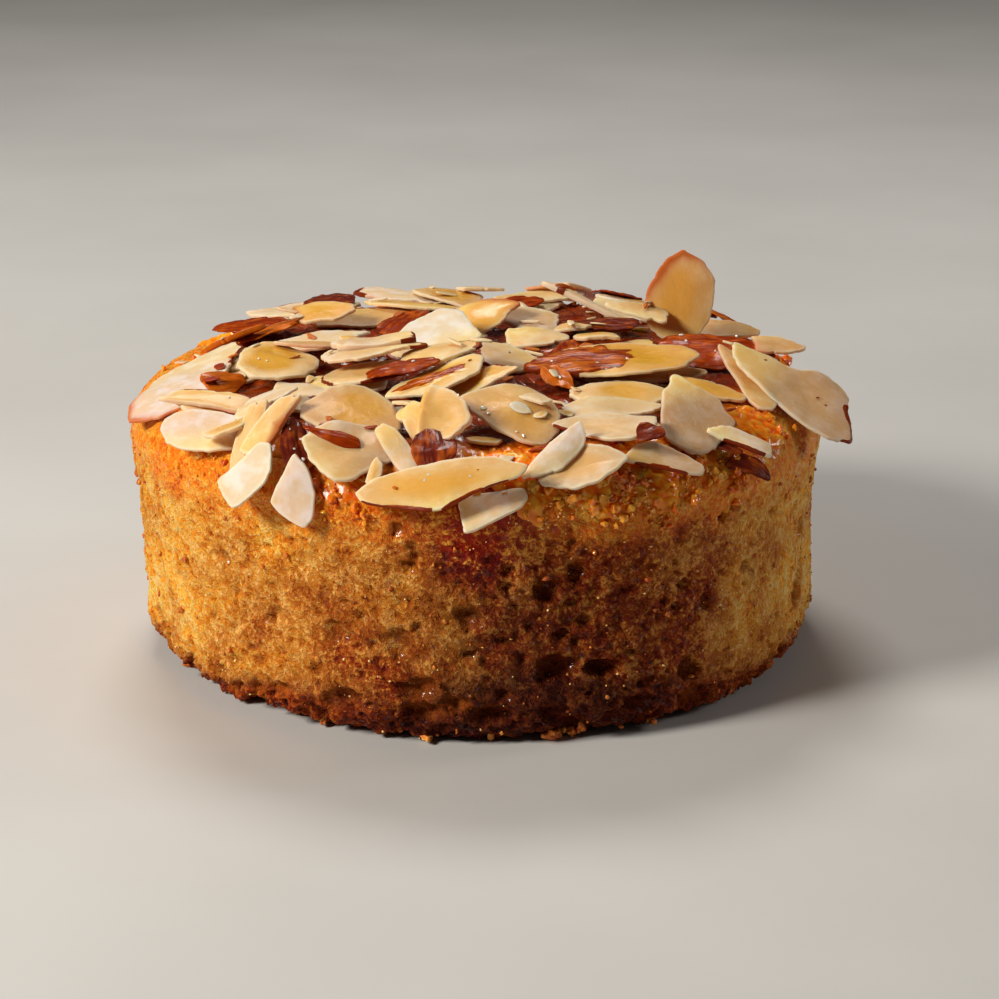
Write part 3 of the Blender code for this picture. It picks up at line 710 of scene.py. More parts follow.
syrup, tree, shader = new_material("almond_glaze")
depth, rim_mask, burst_mask, left_shade_mask = painted(tree, "depth")
speckled = from_group(tree, specks, Scale=1.0)
depth = scaled(tree, speckled["Height"], 0.35, sums(tree, "SUBTRACT", depth, 0.22))
pool = ramp(tree, depth, (
    (0.12, (0.74, 0.22, 0.014)),
    (0.36, (0.52, 0.090, 0.006)),
    (0.62, (0.30, 0.034, 0.003)),
    (0.92, (0.15, 0.014, 0.002)),
))
bubbly = scaled(tree, speckled["Height"], 0.5, scaled(tree, burst_mask, 0.55))
edge = ramp(tree, bubbly, (
    (0.18, (0.50, 0.030, 0.001)),
    (0.36, (0.92, 0.125, 0.003)),
    (0.56, (1.00, 0.235, 0.006)),
    (0.82, (1.00, 0.38, 0.028)),
))
# Painted shade on the left of the run over the rim.
edge = blend_colours(tree, left_shade_mask, edge, times_colour(tree, edge, (0.54, 0.54, 0.9)))
dress(
    tree, shader, blend_colours(tree, rim_mask, pool, edge),
    scaled(tree, speckled["Specks"], 0.2, 0.2), specular=0.12,
    flesh=(0.35, (2.0, 0.5, 0.12)), coat=(0.32, 0.07),
    normal=bumped(tree, speckled["Height"], 1.0, 0.5),
)
glaze.data.materials.append(syrup)
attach(glaze, "root")
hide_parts("almond_topping")

# Beads of dried syrup: some round spots along the front, each a direction in degrees and a
# distance over the top, some all along the edge, and a cluster at the right of the front.
BEAD_SPOTS = (
    (-114, 43.2), (-111, 44.2), (-113, 41.0), (-71, 43.5), (-66, 43.6), (-77, 42.6), (-61, 45.2),
    (-49, 41.6), (-44, 43.6), (-54, 42.4), (-27, 38.8), (-24, 36.0), (-136, 40.4), (-142, 41.4),
    (-100, 38.6), (-104, 31.6), (-90, 33.8), (-84, 34.6), (-83, 42.0), (-125, 36.4),
)
SPOT_BEADS = 280
BEADS = 420
FRONT_BEADS = 46
BEAD_SEED = 17
BEAD_BED = 0.16


def on_crumb(azimuth, over):
    """A spot of the crumb, by direction and distance over the top: its place, the way it
    faces, how far the crumb stands out there, the way outward and the most it leans."""
    turn = math.radians(azimuth)
    outward = np.array([math.cos(turn), math.sin(turn), 0.0])
    place, face = on_surface(over * outward[0], over * outward[1])
    lean = LEFT_FLARE * max(0.0, -outward[0]) ** 2
    return place[0], face[0], crumb_relief(place)[0][0], outward, lean


draw = random.Random(BEAD_SEED)
lumps = []
for n in range(BEADS + FRONT_BEADS):
    shrink, sit = 2.2, 0.05
    if n >= BEADS:
        azimuth, over = draw.gauss(-70, 6.0), draw.gauss(41.0, 1.6)
        shrink, sit = 0.5, 0.3
    elif n < SPOT_BEADS:
        azimuth, over = BEAD_SPOTS[n % len(BEAD_SPOTS)]
        azimuth += draw.gauss(0, 3.0)
        over += draw.gauss(0, 1.3)
    else:
        azimuth = draw.uniform(-180, 180)
        over = float(glaze_edge(np.array([math.radians(azimuth)]))[0]) + draw.gauss(-1.0, 1.6)
    spot, face, lift, outward, lean = on_crumb(azimuth, over)
    size = 0.18 + 0.55 * draw.random() ** shrink
    points, corners = pebble(size, draw, 3 if size > 0.34 else 2, 0.75)
    spot = spot + face * (lift * OVER_CRUMB + BEAD_BED + size * sit)
    lumps.append((points + (spot + outward * (lean * smooth_step(35.0, 43.0, over))), corners))
beads = joined("glaze_beads", lumps)
amber, tree, shader = new_material("amber_beads")
speckled = from_group(tree, specks, Scale=0.6)
colour = ramp(tree, speckled["Height"], (
    (0.35, (0.50, 0.045, 0.002)), (0.62, (0.82, 0.155, 0.006)), (0.85, (0.95, 0.34, 0.02)),
))
dress(
    tree, shader, colour, 0.22, specular=0.15, flesh=(0.4, (2.0, 0.6, 0.15)), coat=(0.85, 0.06),
)
beads.data.materials.append(amber)
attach(beads, "root")


# Painted glint specks
# Fine pale specks on the crust at the front, on the side and on the torn foot, coloured light
# as painted glints that stand in for highlights.
CRUST_SPECKS = 190
SIDE_SPECKS = 330
SPECK_SEED = 29
FILM_OVER_CRUST = 0.35

draw = random.Random(SPECK_SEED)
lumps = []
for n in range(CRUST_SPECKS + SIDE_SPECKS):
    if n < CRUST_SPECKS:
        azimuth, over = draw.gauss(-72, 13), draw.gauss(42.5, 2.0)
    else:
        azimuth, over = draw.uniform(-180, 180), draw.uniform(46.0, 72.0)
    spot, face, lift, outward, lean = on_crumb(azimuth, over)
    size = 0.08 + 0.13 * draw.random() ** 2
    points, corners = pebble(size, draw, 2, 0.8)
    spot = spot + face * (lift + FILM_OVER_CRUST * smooth_step(44.5, 41.5, over) + size * 0.2)
    above_corner = np.clip((spot[2] - CORNER_HEIGHT) / FLARE_RISE, 0, 1)
    lumps.append((points + (spot + outward * (lean * above_corner)), corners))
glint_specks = joined("painted_glint_specks", lumps, OFF_THE_TABLE)
glint_material, tree, shader = new_material("painted_glints")
height = from_group(tree, specks, Scale=1.4)["Height"]
colour = ramp(tree, height, ((0.35, (0.95, 0.38, 0.05)), (0.75, (0.98, 0.64, 0.24))))
dress(tree, shader, colour, 0.3, specular=0.2, coat=(0.3, 0.10))
glint_specks.data.materials.append(glint_material)
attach(glint_specks, "root")


# Almond flakes
# Blanched and unblanched almonds, sliced about a millimetre thick and strewn on the wet
# glaze. The oven browned their rims, the syrup turned some see-through and gold, and strips
# of brown skin are left along many edges.
FLAKE_THICKNESS = 1.0
CUT_THICKNESS = {
    "whole": 0.50, "skin": 0.40, "curl": 0.70, "broken": 0.52, "stick": 0.78, "chip": 0.55,
}
EDGE_ROUNDING = 0.045
POINTS_ROUND = {"whole": 92, "skin": 84, "curl": 96, "broken": 80, "stick": 56, "chip": 48}
RINGS = (0.93, 0.84, 0.70, 0.52, 0.33, 0.15)

# How the flakes heap up: the map of the heap, and how far a flake sinks into it.
REACH = 62.0
CELL = 0.5
BED_RADIUS = 35.2
BED_TOP = 1.2
CLEAR_OF_SPONGE = 0.5
SINK = 0.5
CONTACT_SHARE = 0.9
TOUCHING = 0.2
PRESSED_IN = 0.06
LONGEST_DROP = 6.0
FEELERS = 240

# Tints of cut almond and of its skin.
TINTS = {
    "ivory": (0.75, 0.57, 0.40),
    "cream": (0.80, 0.54, 0.27),
    "pale": (0.82, 0.65, 0.50),
    "white": (0.79, 0.69, 0.61),
    "butter": (0.92, 0.68, 0.25),
    "dusky": (0.50, 0.34, 0.22),
    "pink": (0.74, 0.60, 0.55),
    "grey": (0.60, 0.42, 0.28),
    "tan": (0.66, 0.40, 0.18),
    "honey": (0.80, 0.43, 0.10),
    "toasted": (0.52, 0.12, 0.008),
    "skin": (0.27, 0.028, 0.002),
    "dark skin": (0.14, 0.018, 0.009),
}

# Outlines of the flakes that broke to a shape of their own, as shares of half the flake's
# length towards its point and of half its width towards its left edge.
OUTLINES = {
    "long leaf": (
        (1.0, 0.1), (0.74, -0.53), (0.43, -0.95), (0.05, -1.25), (-0.3, -1.3), (-0.67, -1.2),
        (-1.0, -1.05), (-1.1, -0.9), (-0.97, -0.4), (-0.6, 0.1), (-0.3, 0.6), (0.1, 0.9),
        (0.5, 0.95), (0.8, 0.75),
    ),
    "half moon": (
        (0.33, -1.0), (-0.12, -0.73), (-0.53, -0.35), (-0.72, 0.05), (-0.7, 0.42), (-0.22, 0.77),
        (0.22, 0.95), (0.6, 0.7), (0.95, 0.2), (1.0, -0.4), (0.9, -0.95),
    ),
    "torn block": (
        (-0.84, 0.17), (-0.43, 0.03), (0.09, -0.05), (0.66, -0.05), (0.91, -0.42), (0.75, -0.8),
        (0.43, -1.3), (0.1, -1.45), (-0.4, -1.38), (-0.85, -1.3), (-1.0, -1.13), (-0.96, -0.43),
    ),
    "heart": (
        (0.8, -0.6), (0.3, -1.0), (-0.3, -1.0), (-0.9, -0.65), (-1.05, -0.25), (-0.95, 0.0),
        (-0.75, 0.35), (-0.5, 0.7), (-0.2, 0.9), (0.1, 0.5), (0.4, 0.0), (0.7, -0.4),
    ),
    "upright": (
        (0.88, 0.28), (0.8, 0.05), (0.55, -0.15), (0.4, -0.5), (0.2, -0.75), (-0.13, -0.77),
        (-0.32, -1.0), (-0.6, -0.7), (-1.05, -0.15), (-1.2, 0.2), (-1.2, 0.47), (-1.1, 0.72),
        (-0.85, 1.0), (-0.5, 1.04), (0.13, 0.8), (0.36, 0.7), (0.52, 0.46),
    ),
    "notched leaf": (
        (0.93, -0.04), (0.69, -0.2), (0.43, -0.34), (0.22, -0.36), (0.02, -0.65), (-0.1, -1.05),
        (-0.32, -1.1), (-0.58, -1.0), (-0.67, -0.8), (-0.75, -0.35), (-0.94, 0.1), (-1.06, 0.48),
        (-0.84, 0.88), (-0.5, 1.04), (-0.25, 1.05), (-0.05, 0.98), (0.2, 0.88), (0.43, 0.77),
        (0.67, 0.61), (0.86, 0.25),
    ),
    "narrow leaf": (
        (0.75, -0.5), (0.4, -0.6), (-0.2, -0.5), (-0.7, -0.4), (-1.1, 0.0), (-1.25, 0.6),
        (-1.05, 1.0), (-0.77, 0.92), (-0.35, 0.6), (0.1, 0.3), (0.5, -0.1),
    ),
    "broad glassy": (
        (-0.83, -0.67), (-0.9, -0.3), (-0.75, 0.05), (-0.62, 0.49), (-0.39, 0.79), (-0.08, 0.89),
        (0.18, 0.78), (0.43, 0.52), (0.6, 0.19), (0.7, -0.3), (0.6, -0.8), (0.3, -1.0),
        (0.0, -1.05), (-0.5, -0.93),
    ),
    "under glassy": (
        (-0.95, 0.1), (-0.75, -0.4), (-0.47, -0.8), (-0.2, -1.02), (0.05, -0.9), (0.3, -0.45),
        (0.55, -0.12), (0.75, 0.2), (0.6, 0.7), (0.1, 0.95), (-0.5, 0.9), (-0.85, 0.5),
    ),
    "two lobes": (
        (-1.21, 0.14), (-1.11, 0.5), (-0.8, 0.48), (-0.51, 0.36), (-0.37, 0.57), (0.0, 0.67),
        (0.54, 0.41), (0.94, 0.0), (1.1, -0.6), (0.95, -0.95), (0.7, -1.25), (0.0, -1.2),
        (-0.44, -1.05), (-0.7, -0.57), (-0.85, -0.3), (-1.06, -0.17),
    ),
    "cream shard": (
        (-0.8, -0.2), (-0.47, 0.45), (-0.18, 0.66), (0.09, 0.9), (0.5, 0.84), (0.83, 0.16),
        (1.0, -0.1), (0.82, -0.28), (0.57, -0.66), (0.05, -0.8), (-0.2, -0.55), (-0.42, -0.27),
    ),
    "tan shard": (
        (0.62, -0.6), (0.47, -1.05), (0.0, -0.98), (-0.6, -0.64), (-1.0, -0.3), (-0.95, 0.1),
        (-0.4, 0.48), (0.05, 0.66), (0.47, 0.3), (0.65, -0.15),
    ),
    "wide glazed": (
        (-0.96, -0.2), (-0.75, 0.4), (-0.44, 0.87), (-0.06, 1.05), (0.3, 0.9), (0.65, 0.4),
        (0.78, -0.25), (0.7, -0.85), (0.33, -1.0), (-0.13, -0.88), (-0.64, -0.55),
    ),
    "front leaf": (
        (1.0, 0.1), (0.7, 0.5), (0.38, 0.64), (0.0, 0.66), (-0.37, 0.64), (-0.76, 0.52),
        (-0.97, 0.15), (-0.9, -0.15), (-0.78, -0.3), (-0.54, -0.52), (-0.17, -0.8), (0.02, -0.84),
        (0.35, -0.52), (0.58, -0.37), (0.9, -0.2),
    ),
    "skinned leaf": (
        (1.0, 0.2), (0.83, 0.8), (0.23, 1.2), (-0.24, 1.2), (-0.53, 1.05), (-0.85, 0.6),
        (-1.05, 0.1), (-0.8, -0.3), (-0.45, -0.6), (0.0, -0.74), (0.3, -0.7), (0.74, -0.4),
    ),
    "standing": (
        (0.9, 0.0), (0.87, 0.3), (0.75, 0.6), (0.5, 0.83), (0.2, 0.95), (-0.1, 1.0),
        (-0.44, 1.0), (-0.8, 0.6), (-1.0, 0.0), (-0.8, -0.45), (-0.47, -0.75), (-0.2, -0.93),
        (0.1, -1.0), (0.4, -0.97), (0.65, -0.8), (0.82, -0.45),
    ),
    "skin leaf": (
        (-1.1, 0.6), (-0.7, 0.1), (-0.2, -0.6), (0.5, -1.0), (1.0, -0.6), (0.9, 0.5), (0.3, 1.0),
        (-0.4, 0.6),
    ),
    "smooth leaf": (
        (1.0, -0.15), (0.85, 0.1), (0.5, 0.35), (0.05, 0.45), (-0.4, 0.42), (-0.8, 0.28),
        (-1.0, -0.05), (-0.95, -0.4), (-0.7, -0.8), (-0.3, -1.0), (0.2, -0.95), (0.6, -0.75),
        (0.9, -0.45),
    ),
    "hanging corner": (
        (0.77, -0.3), (0.3, -0.4), (-0.26, -0.2), (-0.6, -0.1), (-0.9, 0.06), (-0.88, 0.5),
        (-0.63, 0.8), (-0.06, 1.0), (0.78, 1.2), (0.97, 1.15), (0.87, 0.5),
    ),
    "slab": (
        (-1.15, 0.6), (-1.04, -0.35), (-0.37, -0.55), (0.4, -0.6), (0.7, -0.15), (0.5, 1.1),
        (-0.17, 1.3), (-0.8, 1.15),
    ),
    "wedge": (
        (-0.9, -0.4), (-0.6, 0.5), (-0.18, 0.93), (0.17, 0.7), (0.55, 0.28), (0.85, -0.1),
        (0.8, -0.5), (0.4, -0.6), (0.0, -0.55),
    ),
    "cupped": (
        (0.8, -0.15), (0.58, 0.2), (0.37, 0.42), (0.0, 0.6), (-0.5, 0.6), (-0.9, 0.2),
        (-1.0, -0.3), (-0.95, -0.55), (-0.7, -0.8), (-0.33, -1.03), (0.13, -0.95), (0.5, -0.6),
    ),
    "skinned sliver": (
        (-0.75, 0.4), (-0.48, 1.1), (0.1, 1.3), (0.55, 1.3), (0.94, 1.1), (1.0, 0.65),
        (0.75, -0.35), (0.38, -0.7), (-0.1, -0.8), (-0.38, -0.35), (-0.6, 0.0),
    ),
    "thick edge": (
        (-0.86, 0.59), (-0.4, 1.15), (0.0, 1.15), (0.45, 0.88), (0.9, 0.7), (0.88, 0.0),
        (0.47, -0.77), (0.07, -0.8), (-0.27, -0.4), (-0.7, 0.2),
    ),
}

# Each flake in the order it fell: kind, place on the top measured right and back from the
# middle and on down the side, heading of the pointed end, lift of that end, lift of the
# left edge, length, width, bow; then its tint and its marks. gold is how much syrup soaked
# into its middle; its butter and highlight mark is how far it turns buttery towards one side,
# and towards which: a painted highlight where it is listed; rim is how browned its rim is and
# on which side; strips are skin left along a rim, each with its width and side; patch is
# skin on its face, its place and reach along and across; cup and fold bend it; bits and
# drops lie on it, each with its place and size, and the tint of a bit. The drops are
# coloured pale, as painted glints.
FLAKES = (
    (("whole", -14.5, 18.5, 355, 0, 6, 15, 8, 0.5), "tan", {"rim": (1.2, 0), "gold": 0.3}),
    (("skin", -27, 12.5, 10, 12, -6, 11, 8, 0.8), "toasted", {}),
    (("broken", -19.5, 13.5, 5, 4, 10, 8, 7.5, 0.4), "honey", {"gold": 0.8, "rim": (0.8, 150)}),
    (("broken", 6, 14.5, 178, 2, -16, 8, 7.5, 0.4), "grey", {}),
    (("broken", 18.5, 22, 350, -6, 12, 9, 7, 0.4), "pale", {}),
    (("whole", 24.4, 10, 270, -76, 0, 12.3, 8.7, 0.4), "cream",
     {"outline": "standing", "gold": 0.75, "rim": (1.5, 125), "butter_and_highlight": (0.5, 270)}),
    (("broken", 31, 15.5, 345, 0, 12, 9, 6, 0.4), "tan", {"rim": (0.5, 30)}),
    (("whole", -26.5, -4, 230, -2, 0, 12, 8, 0.4), "ivory", {}),
    (("broken", -28, -2.5, 215, -9, 0, 9, 6.5, 0.3), "ivory", {}),
    (("whole", -34.5, -7.5, 222, -13, 6, 20.5, 11.5, 0.7), "pink",
     {"outline": "long leaf", "rim": (0.9, 215), "strips": ((0.5, 40),),
      "bits": ((-0.35, 0.25, 2.2, "skin"), (-0.62, 0.05, 1.4, "toasted"))}),
    (("stick", -31, 9, 20, 14, -20, 7.5, 3.6, 0.2), "toasted", {"rim": (0.6, 90)}),
    (("whole", -24.5, -7, 292, -4, -8, 15.5, 11, 0.5), "cream",
     {"outline": "half moon", "gold": 1.2, "bits": ((0.24, 0.33, 2.0, "skin"),),
      "drops": ((0.2, -0.45, 0.2), (0.3, -0.3, 0.25))}),
    (("broken", -20.5, -3, 185, 6, 8, 9, 4.5, 0.3), "tan", {"rim": (0.5, 270)}),
    (("whole", -30, -24.5, 335, -14, 6, 12.5, 8.5, 0.6), "pink",
     {"outline": "smooth leaf", "rim": (0.3, 180)}),
    (("stick", -32, -18.5, 352, -20, 6, 6, 3, 0.1), "cream", {"gold": 0.6}),
    (("stick", -31, -18.5, 350, -12, 10, 10.5, 4, 0.2), "cream",
     {"strips": ((0.3, 95), (0.5, 10)), "gold": 0.6, "drops": ((0.4, 0.2, 0.2),)}),
    (("chip", -30, -11.5, 30, -8, 30, 5.5, 4, 0.3), "toasted", {"strips": ((0.7, 230),)}),
    (("broken", -19.5, -19.5, 340, -4, 6, 11, 7.5, 0.4), "ivory",
     {"gold": 0.2, "bits": ((0.1, -0.1, 1.8, "skin"), (0.35, -0.25, 1.5, "dark skin"))}),
    (("broken", -24.5, -22.5, 20, 14, -10, 8, 6.5, 0.4), "pale", {}),
    (("chip", -27.5, -28, 205, 12, 16, 5.5, 4.5, 0.2), "cream", {"gold": 0.8}),
    (("stick", -25.5, -29.5, 60, 24, 6, 9, 3, 0.2), "cream", {"gold": 0.3}),
    (("skin", -20, -33, 95, 12, 30, 9.5, 4.2, 0.7), "dark skin",
     {"drops": ((0.5, 0.3, 0.2), (0.2, -0.2, 0.22), (-0.1, 0.3, 0.18), (-0.4, -0.1, 0.2))}),
    (("whole", -13.5, -35.7, 348, -14, 6, 13.5, 9.5, 0.6), "grey",
     {"outline": "under glassy", "gold": 0.4}),
    (("whole", -13.5, -28, 350, -14, 14, 14.5, 10.5, 0.6), "tan",
     {"outline": "broad glassy", "gold": 0.8, "patch": (-0.2, -0.88, 0.3, 0.16),
      "bits": ((0.15, -0.85, 1.3, "skin"),), "drops": ((-0.3, -0.2, 0.16), (-0.26, -0.3, 0.13))}),
    (("chip", -16, -34.2, 345, -14, 8, 7, 2.2, 0.3), "skin", {"outline": "skin leaf"}),
    (("stick", -22.5, -30.5, 40, 20, 8, 9, 3.8, 0.2), "cream", {"rim": (1.0, 300)}),
    (("broken", -25.8, -32.5, 24, 4, 4, 8.5, 6.2, 0.3), "white", {"outline": "torn block"}),
    (("whole", -21, -37, 84, 10, 4, 9, 5.8, 0.3), "pink", {"outline": "heart"}),
    (("broken", -8, -27, 180, 4, 20, 5, 4.5, 0.4), "cream", {"gold": 0.3}),
    (("curl", -5, -31, 335, 18, 30, 9, 8, 1.7), "cream",
     {"outline": "two lobes", "gold": 0.5, "fold": -0.45, "drops": ((0.7, 0.2, 0.2),)}),
    (("stick", -9, -36.8, 300, -16, 8, 8.5, 2.9, 0.2), "ivory", {"outline": "slab"}),
    (("chip", -11.5, -38.5, 60, 6, 0, 3.4, 1.6, 0.1), "cream", {"gold": 0.5}),
    (("whole", -6.2, 3, 350, 6, 24, 13.5, 12, 0.6), "white",
     {"outline": "cream shard", "gold": 0.1}),
    (("broken", 7, 5.5, 355, 2, 12, 8, 5.5, 0.4), "cream", {}),
    (("broken", 2.5, -5.5, 178, 8, -12, 10, 9.5, 0.5), "grey",
     {"outline": "tan shard", "strips": ((0.3, 200),),
      "bits": ((-0.15, -0.35, 0.4, "dark skin"),)}),
    (("whole", -15.5, -14, 4, -2, 2, 11, 6.5, 0.3), "cream",
     {"strips": ((0.6, 200),), "gold": 0.4}),
    (("whole", -12, -12.5, 12, 5, -2, 14, 7.5, 0.4), "cream",
     {"strips": ((0.5, 300), (0.4, 190)), "gold": 0.5}),
    (("whole", -5.5, -11.5, 14, 10, 0, 12.5, 7, 0.4), "cream",
     {"strips": ((0.7, 20),), "gold": 0.4}),
    (("skin", -9, -15.5, 8, 8, 2, 9, 5, 0.6), "skin", {"drops": ((0.3, 0.1, 0.2),)}),
    (("whole", -12.5, -10.5, 8, 4, -3, 13, 7.5, 0.4), "ivory",
     {"strips": ((0.7, 20),), "gold": 0.5}),
    (("stick", -12.5, -8.5, 6, 4, 2, 10, 3.6, 0.2), "ivory", {"strips": ((0.3, 90), (0.4, 350))}),
    (("whole", 4, -27.8, 342, -12, 10, 14, 10.5, 0.7), "tan",
     {"outline": "wide glazed", "gold": 0.6, "rim": (0.3, 200),
      "bits": ((0.05, 0.0, 2.6, "pale"), (0.39, 0.03, 1.9, "honey")),
      "drops": ((-0.49, -0.37, 0.36), (-0.36, -0.5, 0.2), (0.33, -0.85, 0.26), (0.2, -0.8, 0.2))}),
    (("broken", 0.5, -17.5, 14, 20, 4, 10, 5.5, 0.5), "cream",
     {"gold": 0.9, "strips": ((0.5, 190), (0.3, 60))}),
    (("whole", -5.5, -19.5, 22, 14, 2, 15, 6.5, 0.5), "cream",
     {"outline": "skinned sliver", "gold": 1.0, "patch": (0.0, 0.3, 0.62, 0.34),
      "drops": ((-0.35, 0.35, 0.25), (-0.25, 0.5, 0.22), (-0.1, 0.45, 0.2), (0.1, 0.4, 0.18),
                (-0.45, 0.2, 0.22)), "bits": ((0.75, 0.6, 0.5, "skin"),)}),
    (("chip", 6.5, -26.5, 325, -4, 0, 4, 2.2, 0.1), "ivory", {}),
    (("whole", 15.3, -23.5, 358, 4, 2, 12.5, 7, 0.4), "ivory", {"gold": 0.4}),
    (("whole", 16.3, -17.5, 357, 2, 4, 12.5, 7.5, 0.5), "cream", {"gold": 0.9}),
    (("skin", 9, -14.5, 300, -14, 10, 6, 3.5, 0.3), "toasted", {"drops": ((0.1, 0.0, 0.3),)}),
    (("broken", 20, -9, 357, 4, 4, 14, 7, 0.3), "tan", {}),
    (("whole", 15.7, -10.5, 4, 5, 6, 21, 10, 0.5), "honey",
     {"outline": "skinned leaf", "gold": 0.9, "patch": (-0.42, 0.18, 0.68, 0.78),
      "drops": ((-0.43, 1.0, 0.3), (-0.41, 0.66, 0.28), (-0.5, 0.19, 0.3), (-0.3, -0.3, 0.32),
                (-0.2, -0.05, 0.2), (0.14, 0.03, 0.34), (-0.12, -0.43, 0.24), (-0.6, -0.3, 0.5),
                (-0.13, 0.6, 0.18), (-0.7, 0.3, 0.22))}),
    (("skin", 28.5, 0.5, 352, 2, 12, 15, 10, 1.0), "skin",
     {"drops": ((-0.6, 0.6, 0.3), (0.3, 0.7, 0.25), (0.4, 0.1, 0.2), (-0.5, 0.2, 0.25),
                (0.0, -0.3, 0.2))}),
    (("broken", 36, 1, 0, 4, 12, 6.5, 5.5, 0.3), "tan", {"rim": (0.6, 200)}),
    (("broken", 26.5, -14.5, 350, -6, 2, 9.5, 5.5, 0.3), "honey", {"gold": 0.6}),
    (("whole", 30, -9.5, 130, 14, -8, 14, 6.5, 0.4), "tan",
     {"outline": "narrow leaf", "gold": 0.4}),
    (("whole", 36, -11, 158, 8, -14, 18.8, 10.5, 0.5), "grey",
     {"outline": "notched leaf", "strips": ((0.6, 338),), "gold": 0.3, "butter_and_highlight": (0.9, 150),
      "bits": ((0.45, -0.05, 0.45, "dark skin"), (-0.36, 0.0, 0.5, "dark skin"),
               (-0.5, 0.04, 0.3, "skin"))}),
    (("broken", 20, -34.2, 5, 4, -6, 11, 5.8, 0.2), "grey",
     {"outline": "wedge", "strips": ((0.45, 270),)}),
    (("whole", 13.5, -32, 0, 5, 4, 13.5, 8, 0.5), "ivory",
     {"outline": "thick edge", "gold": 0.45, "strips": ((0.25, 200),), "cup": 0.35}),
    (("chip", 18, -33.5, 20, 24, 6, 4, 4, 0.2), "dark skin", {"outline": "wedge"}),
    (("skin", 25, -27.5, 335, 0, 0, 10, 4.5, 0.3), "dark skin", {}),
    (("whole", 24, -24.4, 104, 22, 6, 13, 9.4, 0.4), "dusky",
     {"outline": "upright", "butter_and_highlight": (1.0, 110)}),
    (("chip", 30.5, -29, 10, 14, -8, 5.5, 3.2, 0.3), "dark skin", {}),
    (("stick", 29, -27.6, 350, 8, 0, 7, 3, 0.2), "pale", {"strips": ((0.2, 270),)}),
    (("whole", 11.5, -37.5, 10, 14, 0, 11.5, 7.4, 0.9), "ivory",
     {"outline": "cupped", "gold": 0.6, "cup": 0.5}),
    (("stick", 8, -37.5, 48, 18, 10, 9.5, 3.1, 0.2), "white", {"butter_and_highlight": (0.6, 250)}),
    (("skin", -5, -37.5, 275, -4, 0, 8, 5.5, 0.2), "dark skin", {}),
    (("broken", 1, -42, 200, 6, 24, 8.8, 5.8, 0.2), "pale", {"outline": "hanging corner"}),
    (("whole", -4.3, -41, 4, 7, -8, 19.5, 8, 0.6), "cream",
     {"outline": "front leaf", "gold": 0.75, "strips": ((0.45, 225), (0.4, 312)),
      "bits": ((-0.5, 0.05, 0.6, "toasted"), (0.45, 0.15, 0.3, "skin")),
      "drops": ((-0.11, 0.28, 0.28), (-0.16, 0.12, 0.2), (0.36, 0.0, 0.22), (0.05, -0.15, 0.15))}),
    (("chip", 0.5, -32.5, 350, 2, 0, 4.2, 1.8, 0.1), "honey", {"gold": 0.8}),
    (("broken", 1, 12.5, 10, 16, 20, 8.5, 7.5, 1.0), "honey", {"gold": 1.0, "rim": (1.1, 60)}),
    (("stick", 14, 18, 160, 20, 10, 14, 3.2, 0.2), "ivory", {"patch": (0.6, 0.0, 0.14, 1.2)}),
    (("broken", 19.5, 8, 178, 6, -16, 9, 4.5, 0.3), "cream", {}),
)


def almond_half(t):
    """Half the width of an almond from its round end, 0, to its point, 1."""
    return (t / 0.42) ** 0.5 * ((1 - t) / 0.58) ** 0.72


def flake_surface(kind, length, width, bow, draw, share, side):
    """Middle plane of a flake, pointed end towards +X. share runs from 0 at the other end
    to 1 at the point, side from -1 at the right edge to 1 at the left."""
    left_share, right_share = draw.uniform(0.9, 1.08), draw.uniform(0.9, 1.08)
    jag = [draw.uniform(-1, 1) for _ in range(3)]
    t = 0.02 + 0.965 * (0.5 - 0.5 * np.cos(np.pi * share))
    slant = np.zeros_like(t)
    if kind in ("whole", "skin", "curl"):
        half = almond_half(t)
    elif kind == "broken":
        half = almond_half(0.3 + 0.685 * t)
        slant = 0.16 * length * (1 - t) ** 2 * jag[0]
    elif kind == "stick":
        half = 1.0 - 0.35 * np.abs(2 * t - 1) ** 3
        slant = 0.35 * width * ((1 - t) ** 3 * jag[0] + t**3 * jag[1])
    else:
        half = 0.72 + 0.28 * np.sin(np.pi * t) + 0.12 * np.sin(5 * t + 3 * jag[2])
        slant = 0.3 * width * ((1 - t) ** 2 * jag[0] + t**2 * jag[1])
    x = length * (t - 0.5) + slant * side
    if kind == "broken":
        ragged = 0.05 * length * np.sin(4.2 * side + 3 * jag[1])
        x += np.where(share < 0.001, ragged, 0.0)
    y = side * half * width / 2 * np.where(side > 0, left_share, right_share)
    z = bow * (1 - (2 * t - 1) ** 2) * 0.6 - bow * 0.5 * side**2 * half
    return np.stack([x, y, z], axis=-1)


def over_surface(points):
    """Place over the form and height above it, for points round the cake."""
    radius = np.hypot(points[:, 0], points[:, 1])
    flat = np.stack([radius, points[:, 2]], axis=1)
    starts = PROFILE[:-1]
    steps = PROFILE[1:] - starts
    lengths = np.hypot(steps[:, 0], steps[:, 1])
    share = ((flat[:, None] - starts) * steps).sum(axis=2) / lengths**2
    share = np.clip(share, 0, 1)
    gap = flat[:, None] - (starts + steps * share[..., None])
    distance = np.hypot(gap[..., 0], gap[..., 1])
    nearest = distance.argmin(axis=1)
    rows = np.arange(len(points))
    side = gap[rows, nearest] * np.stack([-steps[nearest, 1], steps[nearest, 0]], axis=1)
    height = np.where(side.sum(axis=1) >= 0, 1, -1) * distance[rows, nearest]
    along = ALONG_PROFILE[nearest] + share[rows, nearest] * lengths[nearest]
    radius = np.maximum(radius, 1e-6)
    return along * points[:, 0] / radius, along * points[:, 1] / radius, height


